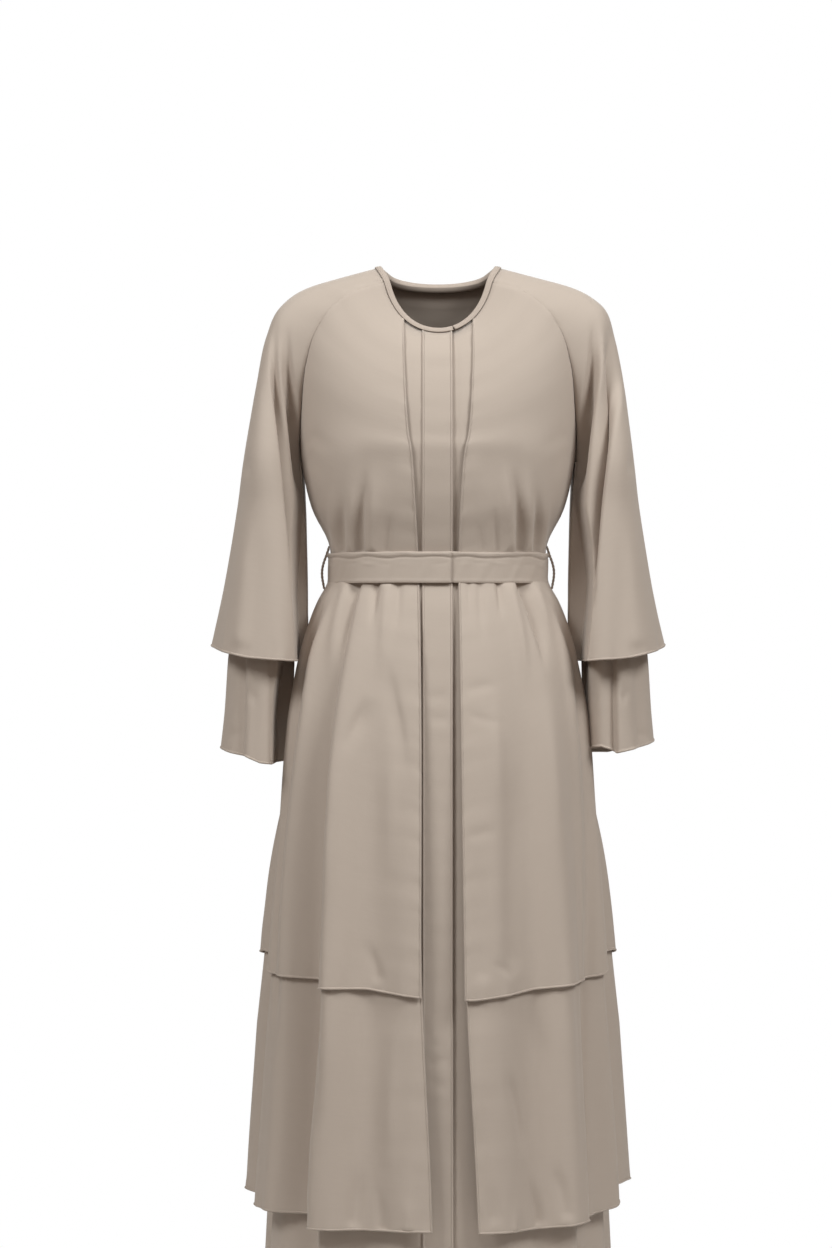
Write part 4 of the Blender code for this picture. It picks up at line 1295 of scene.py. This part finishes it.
def make_base(finish, stitched_finish):
    """The closed robe: the right front laps over the left one at centre front, under the button stand."""

    def flat(angle):
        return np.zeros(np.shape(angle))

    levels = rows_to((20, 8), (240, 10), (860, 9), (1140, 5), BASE_HEM)
    edge = angle_at_x(levels, STAND_EDGE, BASE)
    seam = seam_angle(levels, BASE, False, -1)
    kinds = ("rolled", "sewn")
    sheet = panel(levels, edge, seam, False, BASE, BASE_HEM, flat, kinds, 58, 3.3)
    right = shell("cloth_base_front_right", sheet, finish)
    dress(right, "base_front_right")

    edge = angle_at_x(levels, STAND_EDGE - STAND_WIDTH + 6, BASE)
    seam = seam_angle(levels, BASE, False, 1)
    sheet = panel(levels, edge, seam, False, BASE, BASE_HEM, flat, kinds, 58, 4.6)
    under = 1 - smooth_step((sheet.points[..., 0] - STAND_EDGE - 2) / 10)
    step = (NEST + 0.4) * under
    sheet.points = sheet.points - normals(sheet.points) * step[..., None]
    left = shell("cloth_base_front_left", sheet, finish)
    dress(left, "base_front_left")

    first, last = seam_angle(levels, BASE, True, 1), seam_angle(levels, BASE, True, -1)
    sheet = panel(levels, first, last, True, BASE, BASE_HEM, flat, ("sewn", "sewn"), 90, 5.9)
    back = shell("cloth_base_back", sheet, finish)
    dress(back, "base_back")

    levels = rows_to((20, 5.5), BASE_HEM)
    first = angle_at_x(levels, STAND_EDGE, STAND)
    last = angle_at_x(levels, STAND_EDGE - STAND_WIDTH, STAND)
    sheet = panel(levels, first, last, False, STAND, BASE_HEM, flat, ("rolled", "rolled"), 9, 7.1, 0.5)
    stand = shell("cloth_button_stand", sheet, stitched_finish)
    dress(stand, "button_stand")


def sleeve_sheet(levels, surface, hems, wave_name, creased, folded, count, closed_from, start):
    """A tier of a sleeve laid out round its tube, which is closed from the row closed_from down.

    hems gives the level below which the rows follow the hem's waves, and the hem's level. creased is a
    table of creases and folded are paths of folds, which the surface doesn't have yet.
    """
    tries = np.broadcast_to(np.linspace(0, 1, 181), (len(levels), 181))
    lengths = measured(surface(levels[:, None] + 0 * tries, tries[:1]))
    width = lengths[:, -1]
    across = places_across(width, ("sewn", "sewn"), count, (0.48, 0.28))
    middle = len(levels) * 3 // 4
    even = across / width[:, None]
    share = np.array([np.interp(a * w, length, t) for a, w, length, t in zip(even, width, lengths, tries)])
    if closed_from == 0:
        share = share[middle : middle + 1]
    level = drop_to_hem(levels, hems[1], hems[0], sleeve_wave(wave_name, share))
    points = surface(level, share)
    share = np.broadcast_to(share, level.shape)
    out = creases(creased, share, level, SLEEVE_ROUND)
    out = out + on_front(share) * lines(folded, points[..., 0], level)
    points = points + normals(points, closed_from) * out[..., None] * outward_sign(points)
    return Sheet(points, across, ("sewn", "sewn"), closed_from=closed_from, start=start)


def outward_sign(points):
    """1 where down crossed with along points away from the middle of the tube, else -1."""
    row = len(points) * 3 // 4
    outside = points.shape[1] // 2
    centre = points[row].mean(axis=0)
    normal = normals(points)[row, outside]
    return float(np.sign(np.dot(normal, points[row, outside] - centre)))


def make_sleeves(finish):
    """Both tiers of both sleeves; the right ones are mirrored, with puckers of their own."""
    upper = rows_to((20, 4), (UNDERARM, 4), OUTER_SLEEVE_HEM)
    lower = rows_to((UNDER_SLEEVE_SEAM, 6), (440, 4), UNDER_SLEEVE_HEM)
    closed_from = int(np.searchsorted(upper, UNDERARM - 1e-6))
    for side, start in (("left", 1.0), ("right", 8.0)):
        surface = functools.partial(outer_sleeve, side=side)
        hems = (UNDER_SLEEVE_SEAM, OUTER_SLEEVE_HEM)
        outer = sleeve_sheet(
            upper, surface, hems, "outer", SLEEVE_CREASES, (), 132, closed_from, start
        )
        surface = functools.partial(under_sleeve, side=side)
        hems = (OUTER_SLEEVE_HEM, UNDER_SLEEVE_HEM)
        folded = UNDER_SLEEVE_LINES[side]
        under = sleeve_sheet(
            lower, surface, hems, f"under_{side}", UNDER_SLEEVE_WRINKLES, folded, 96, 0, start + 1
        )
        tiers = (("outer_sleeve", outer, "neck_binding"), ("under_sleeve", under, f"outer_sleeve_{side}"))
        for name, sheet, rest in tiers:
            if side == "right":
                mirror(sheet)
            piece = shell(f"cloth_{name}_{side}", sheet, finish)
            dress(piece, f"{name}_{side}")


def mirror(sheet):
    """Move a sheet to the garment's other side, its columns reversed so that it still faces out."""
    sheet.points = (sheet.points * (-1, 1, 1))[:, ::-1]
    sheet.across = sheet.width - sheet.across[:, ::-1]
    sheet.down = sheet.down[:, ::-1]
    sheet.half = sheet.half[:, ::-1]
    sheet.side = sheet.side[:, ::-1]
    sheet.low = sheet.low[:, ::-1]


def make_belt(finish):
    """A flat tube of cloth. It runs once round, laps over its own start and crumples at its top edge."""
    start, end = -38.0, 366.0
    turn = np.linspace(start, end, 300)
    lift = 3.0 * smooth_step((turn - 300) / 18)
    stand = CLOTH / 2 + 0.9 + BELT_THICKNESS / 2
    high = WAIST - BELT_HEIGHT / 2
    ring = np.stack([body(np.array([WAIST]), np.array([a]), 90 < a < 270, OUTER)[0] for a in turn])
    ring = ring * (1, 1, 0)
    out = unit(np.cross(np.gradient(ring, axis=0), (0.0, 0.0, 1.0)))
    run = measured(ring[None])[0]
    edge = BELT_THICKNESS / 2 * (1 - np.cos(np.linspace(0, np.pi / 2, 5)))
    between = np.linspace(edge[-1], BELT_HEIGHT - edge[-1], 26)[1:-1]
    down = np.concatenate([edge, between, BELT_HEIGHT - edge[::-1]])[:, None]

    # A ridge near the top edge and the groove under it, an uneven ridge below them, small slanting waves,
    # and the ridge of the turned lower edge.
    fold = 6.5 + 2.6 * uneven(run, 74, 0.4)
    relief = 1.3 * bell(down - 0.45 * fold, 2.6) - 1.0 * bell(down - fold, 1.1)
    relief = relief + 0.5 * bell(down - 15 - 3 * uneven(run, 110, 1.7), 2.2) * uneven(run, 60, 2.6)
    relief = relief + 0.35 * uneven(run + 0.6 * down, 23, 3.1) + 0.5 * bell(down - 35.5, 2.0)
    sag = 0.7 * uneven(run, 130, 0.9) + 0.4 * uneven(run, 41, 2.0)
    points = ring[None] + out[None] * (stand + lift + relief)[..., None]
    points[..., 2] = -(high + down + sag * np.exp(-down / 30))
    sheet = Sheet(points, np.broadcast_to(run, relief.shape), ("plain", "plain"), hem="plain")
    gap = np.minimum(sheet.down, sheet.down[-1:] - sheet.down)
    thick = BELT_THICKNESS / 2
    sheet.half = np.maximum(0.15, np.sqrt(np.clip(thick**2 - np.clip(thick - gap, 0, None) ** 2, 0, None)))
    sheet.side = gap
    sheet.down, sheet.across = sheet.across, sheet.down
    piece = shell("cloth_belt", sheet, finish)
    dress(piece, "belt")


def closed_tube(name, points, cloth, edges, finish):
    """A tube through rings of points, its ends capped. Each ring's last point is its first one again.

    cloth and edges are its layouts, in millimetres.
    """
    rings, places = points.shape[:2]
    index = np.arange(rings * places).reshape(rings, places)
    meet = index.copy()
    meet[:, -1] = meet[:, 0]
    caps = [cap_quads(meet[0, :-1]), cap_quads(meet[-1, :-1])[:, ::-1]]
    corners = np.concatenate([grid_quads(index), *caps])
    layouts = [
        ("cloth", cloth.reshape(-1, 2)[corners] * MM),
        ("edges", edges.reshape(-1, 2)[corners] * MM),
    ]
    return mesh_object(name, points.reshape(-1, 3), meet.ravel()[corners], finish, layouts)


def cord(name, route, radius, sides, finish):
    """A round cord carried along a route, with the twist of its threads as a raised helix."""
    route = np.asarray(route)
    forward = unit(np.gradient(route, axis=0))
    aside = unit(np.cross(forward, (0.0, 1.0, 0.0)))
    across = np.cross(forward, aside)
    turn = np.linspace(0, 2 * np.pi, sides + 1)
    run = measured(route[None])[0]
    twist = 1 + 0.13 * np.cos(2 * turn[None] + 2 * np.pi * run[:, None] / 4.5)
    close = np.sqrt(np.clip(1 - np.linspace(-1, 1, len(route)) ** 16, 0.02, 1))
    size = radius * twist * close[:, None]
    points = route[:, None] + size[..., None] * (
        np.cos(turn)[None, :, None] * aside[:, None] + np.sin(turn)[None, :, None] * across[:, None]
    )
    cloth = stack(turn[None] * radius, run[:, None])
    return closed_tube(name, points, cloth, np.full(cloth.shape, FAR), finish)


def make_belt_loops(finish):
    """Thread loops at the side seams; the belt passes through them."""
    for side, sign in (("left", 1), ("right", -1)):
        drop = np.linspace(0, 1, 90)
        level = WAIST - BELT_HEIGHT / 2 - 8 + (BELT_HEIGHT + 14) * drop
        skin = body(level, np.full(len(drop), 90.0), False, OUTER)
        out = CLOTH / 2 + LOOP_DIAMETER / 2 - 1.0 + 9.5 * np.sin(np.pi * drop**1.15)
        route = (skin + out[:, None] * np.array([1, 0, 0])) * (sign, 1, 1)
        piece = cord(f"thread_loop_{side}", route, LOOP_DIAMETER / 2, 12, finish)
        dress(piece, f"belt_loop_{side}")


def neck_edge(dense):
    """The neck edge, from the stand's edge round the left shoulder and the back to the stand's edge again.

    Returns the points, the directions out of the cloth and the directions down along it.
    """
    top = 20.0

    def frames(surface, count):
        levels = np.full(count, top)
        at = surface(levels, 0)
        out = surface(levels, -1) - at
        return at, out, surface(levels + 4, 0) - at

    def at_x(x):
        return angle_at_x(np.array([top]), x, OUTER)[0]

    def round_body(angles, back):
        return frames(lambda level, inset: body(level, angles, back, OUTER.moved_in(inset)), len(angles))

    stops = [0.05, 0.15, 0.3, 0.45, 0.6, 0.75, 0.88, 0.96]
    shares = np.interp(np.linspace(0, 7, 7 * dense + 1), np.arange(8), stops)
    pieces = (
        round_body(np.linspace(at_x(STAND_EDGE + 1.5), 87, 8 * dense + 1), False),
        frames(lambda level, inset: outer_sleeve(level, shares, inset), len(shares)),
        round_body(np.linspace(94, 168, 6 * dense + 1), True),
    )
    left = [np.concatenate(parts) for parts in zip(*pieces)]
    right = [part[::-1] * (-1, 1, 1) for part in left]
    centre_back = round_body(np.array([180.0]), True)
    lap = round_body(np.linspace(at_x(-8), at_x(STAND_EDGE + 0.2), 2 * dense + 1), False)
    return [np.concatenate(parts) for parts in zip(left, centre_back, right, lap)]


def evened(points, others, spacing):
    """The same path with its points at an even spacing, and the others that go with its points."""
    run = measured(points[None])[0]
    count = int(run[-1] / spacing) + 1
    wanted = np.linspace(0, run[-1], count)
    return [
        np.stack([np.interp(wanted, run, values[:, k]) for k in range(3)], axis=1)
        for values in (points, *others)
    ]


def smoothed(vectors, times):
    """Vectors averaged with their neighbours along a path; its ends stay."""
    for _ in range(times):
        inner = (vectors[:-2] + 2 * vectors[1:-1] + vectors[2:]) / 4
        vectors = np.concatenate([vectors[:1], inner, vectors[-1:]])
    return vectors


def make_neck_binding(finish):
    """A folded strip swept along the neck edges: two legs, joined by a round fold over the top."""
    edge, *directions = neck_edge(3)
    even, outward, hanging = evened(edge, directions, BINDING_STEP)
    points = smoothed(even, 6)
    forward = unit(np.gradient(points, axis=0))
    outward = smoothed(outward, 14)
    outward = unit(outward - forward * np.sum(outward * forward, axis=1, keepdims=True))
    downward = np.cross(forward, outward)
    downward *= np.sign(np.sum(downward * hanging, axis=1, keepdims=True))
    outside = CLOTH / 2 + 0.3 + BINDING_EASE
    inside = -(3 * NEST + 1 + CLOTH / 2 + 0.3)
    middle, reach = (outside + inside) / 2, (outside - inside) / 2 + 0.6
    low = BINDING_HEIGHT
    turn = np.linspace(0, np.pi, 11)
    arch = np.stack([middle + reach * np.cos(turn), -1.2 - 1.5 * np.sin(turn)], axis=1)
    outer_leg = [(outside + 0.35, low), (outside + 0.95, low - 0.9), (outside + 0.9, 2.2)]
    inner_leg = [(inside - 0.9, 2.2), (inside - 0.95, low - 0.9), (inside - 0.35, low)]
    lining = [(inside + 0.1, low - 0.2), (inside + 0.1, 2.2), (inside + 0.5, 0)]
    lining = [*lining, (outside - 0.5, 0), (outside - 0.1, 2.2), (outside - 0.1, low - 0.2)]
    profile = np.concatenate([outer_leg, arch, inner_leg, lining])
    across = measured(np.pad(profile, ((0, 0), (0, 1)))[None])[0]
    along_edge = np.linspace(0, len(points) * BINDING_STEP, len(points))
    stretch = 1 + 0.02 * uneven(along_edge, 19, 0.5)[:, None]
    sections = points[:, None] + (profile[:, 0] * stretch)[..., None] * outward[:, None]
    sections = sections + profile[None, :, 1, None] * downward[:, None]
    closed = np.concatenate([sections, sections[:, :1]], axis=1)
    round_it = np.append(across, across[-1] + 3)
    cloth = stack(round_it[None], np.arange(len(points))[:, None] * BINDING_STEP)
    side = np.broadcast_to(np.minimum(round_it, FAR)[None, :, None], cloth.shape)
    piece = closed_tube("cloth_neck_binding", closed, cloth, side, finish)
    dress(piece, "neck_binding")


# The studio and the camera, in metres and watts. A lamp's row is its name, its place, the point that it
# is aimed at, its size and its power.
FLOOR_RADIUS = 1.14
FLOOR_HEIGHT = -1.49
LAMPS = (
    ("key", (2.0, -2.0, 1.85), (0, 0, -0.25), 1.2, 36),
    ("fill", (-2.0, -2.0, 1.85), (0, 0, -0.25), 1.2, 30.5),
    ("front", (0.0, -3.2, 1.9), (0, 0, -0.2), 1.0, 3),
    ("top", (0.2, -0.8, 2.4), (0, 0, -0.5), 1.4, 4),
    ("behind", (0.0, 3.2, 0.8), (0, 0, -0.6), 2.2, 30),
)
CAMERA_DISTANCE = 3.5
PHOTO_HEIGHT = 1248
PIXEL = 1.25 * MM
SENSOR = 36
VIEW_CENTRE_X = -0.0275
VIEW_CENTRE_Z = -0.445


def make_studio():
    """A pale round floor below the hem, a white surround, and broad soft lights."""
    turn = np.linspace(0, 2 * np.pi, 97)[:-1]
    rim = stack(FLOOR_RADIUS * np.cos(turn), FLOOR_RADIUS * np.sin(turn), FLOOR_HEIGHT)
    mesh = bpy.data.meshes.new("floor")
    mesh.from_pydata(rim.tolist(), [], [list(range(len(rim)))])
    floor = bpy.data.objects.new("floor", mesh)
    bpy.context.scene.collection.objects.link(floor)
    pale = bpy.data.materials.new("pale floor")
    pale.use_nodes = True
    shader = pale.node_tree.nodes["Principled BSDF"]
    shader.inputs["Base Color"].default_value = (0.72, 0.715, 0.705, 1)
    shader.inputs["Roughness"].default_value = 0.7
    mesh.materials.append(pale)

    world = bpy.data.worlds.new("white surround")
    world.use_nodes = True
    tree = world.node_tree
    seen = tree.nodes["Background"]
    seen.inputs["Color"].default_value = (1, 1, 1, 1)
    seen.inputs["Strength"].default_value = 1.0
    felt = tree.nodes.new("ShaderNodeBackground")
    felt.inputs["Color"].default_value = (1, 0.90, 0.81, 1)
    felt.inputs["Strength"].default_value = 0.25
    rays = tree.nodes.new("ShaderNodeLightPath")
    mix = tree.nodes.new("ShaderNodeMixShader")
    tree.links.new(rays.outputs["Is Camera Ray"], mix.inputs[0])
    tree.links.new(felt.outputs[0], mix.inputs[1])
    tree.links.new(seen.outputs[0], mix.inputs[2])
    tree.links.new(mix.outputs[0], tree.nodes["World Output"].inputs["Surface"])
    bpy.context.scene.world = world

    for name, place, aim, size, power in LAMPS:
        data = bpy.data.lights.new(name, "AREA")
        data.size = size
        data.energy = power
        data.spread = np.radians(110)
        data.color = (0.90, 0.975, 1.0)
        lamp = bpy.data.objects.new(name, data)
        lamp.location = place
        direction = np.subtract(aim, place)
        yaw = np.arctan2(direction[0], -direction[1])
        pitch = np.arctan2(np.hypot(*direction[:2]), -direction[2])
        lamp.rotation_euler = (pitch, 0, yaw + np.pi)
        bpy.context.scene.collection.objects.link(lamp)


def make_camera():
    """The photograph's view: level, 3.5 m away, 1.25 mm to a pixel at the garment's middle plane."""
    data = bpy.data.cameras.new("camera")
    data.sensor_width = SENSOR
    data.lens = SENSOR * CAMERA_DISTANCE / (PHOTO_HEIGHT * PIXEL)
    camera = bpy.data.objects.new("camera", data)
    camera.location = (VIEW_CENTRE_X, -CAMERA_DISTANCE, VIEW_CENTRE_Z)
    camera.rotation_euler = (np.pi / 2, 0, 0)
    bpy.context.scene.collection.objects.link(camera)
    bpy.context.scene.camera = camera
    bpy.context.scene.view_settings.view_transform = "Standard"


SAND = (0.432, 0.347, 0.289)
TRIM = (0.412, 0.328, 0.272)
sand_crepe = crepe("sand crepe", SAND)
stitched_crepe = crepe("stitched sand crepe", SAND, True)
trim_crepe = crepe("sand trim", TRIM, True)

outer_rows = rows_to((20, 3.6), OUTER_HEM)
middle_rows = rows_to((357, 14), (840, 5), MIDDLE_HEM)
make_open_layer("outer", outer_rows, OUTER, OUTER_HEM, sand_crepe, (84, 134))
make_open_layer("middle", middle_rows, MIDDLE, MIDDLE_HEM, sand_crepe, (84, 150))
make_base(sand_crepe, stitched_crepe)
make_sleeves(sand_crepe)
make_belt(stitched_crepe)
make_belt_loops(trim_crepe)
make_neck_binding(trim_crepe)
make_studio()
make_camera()
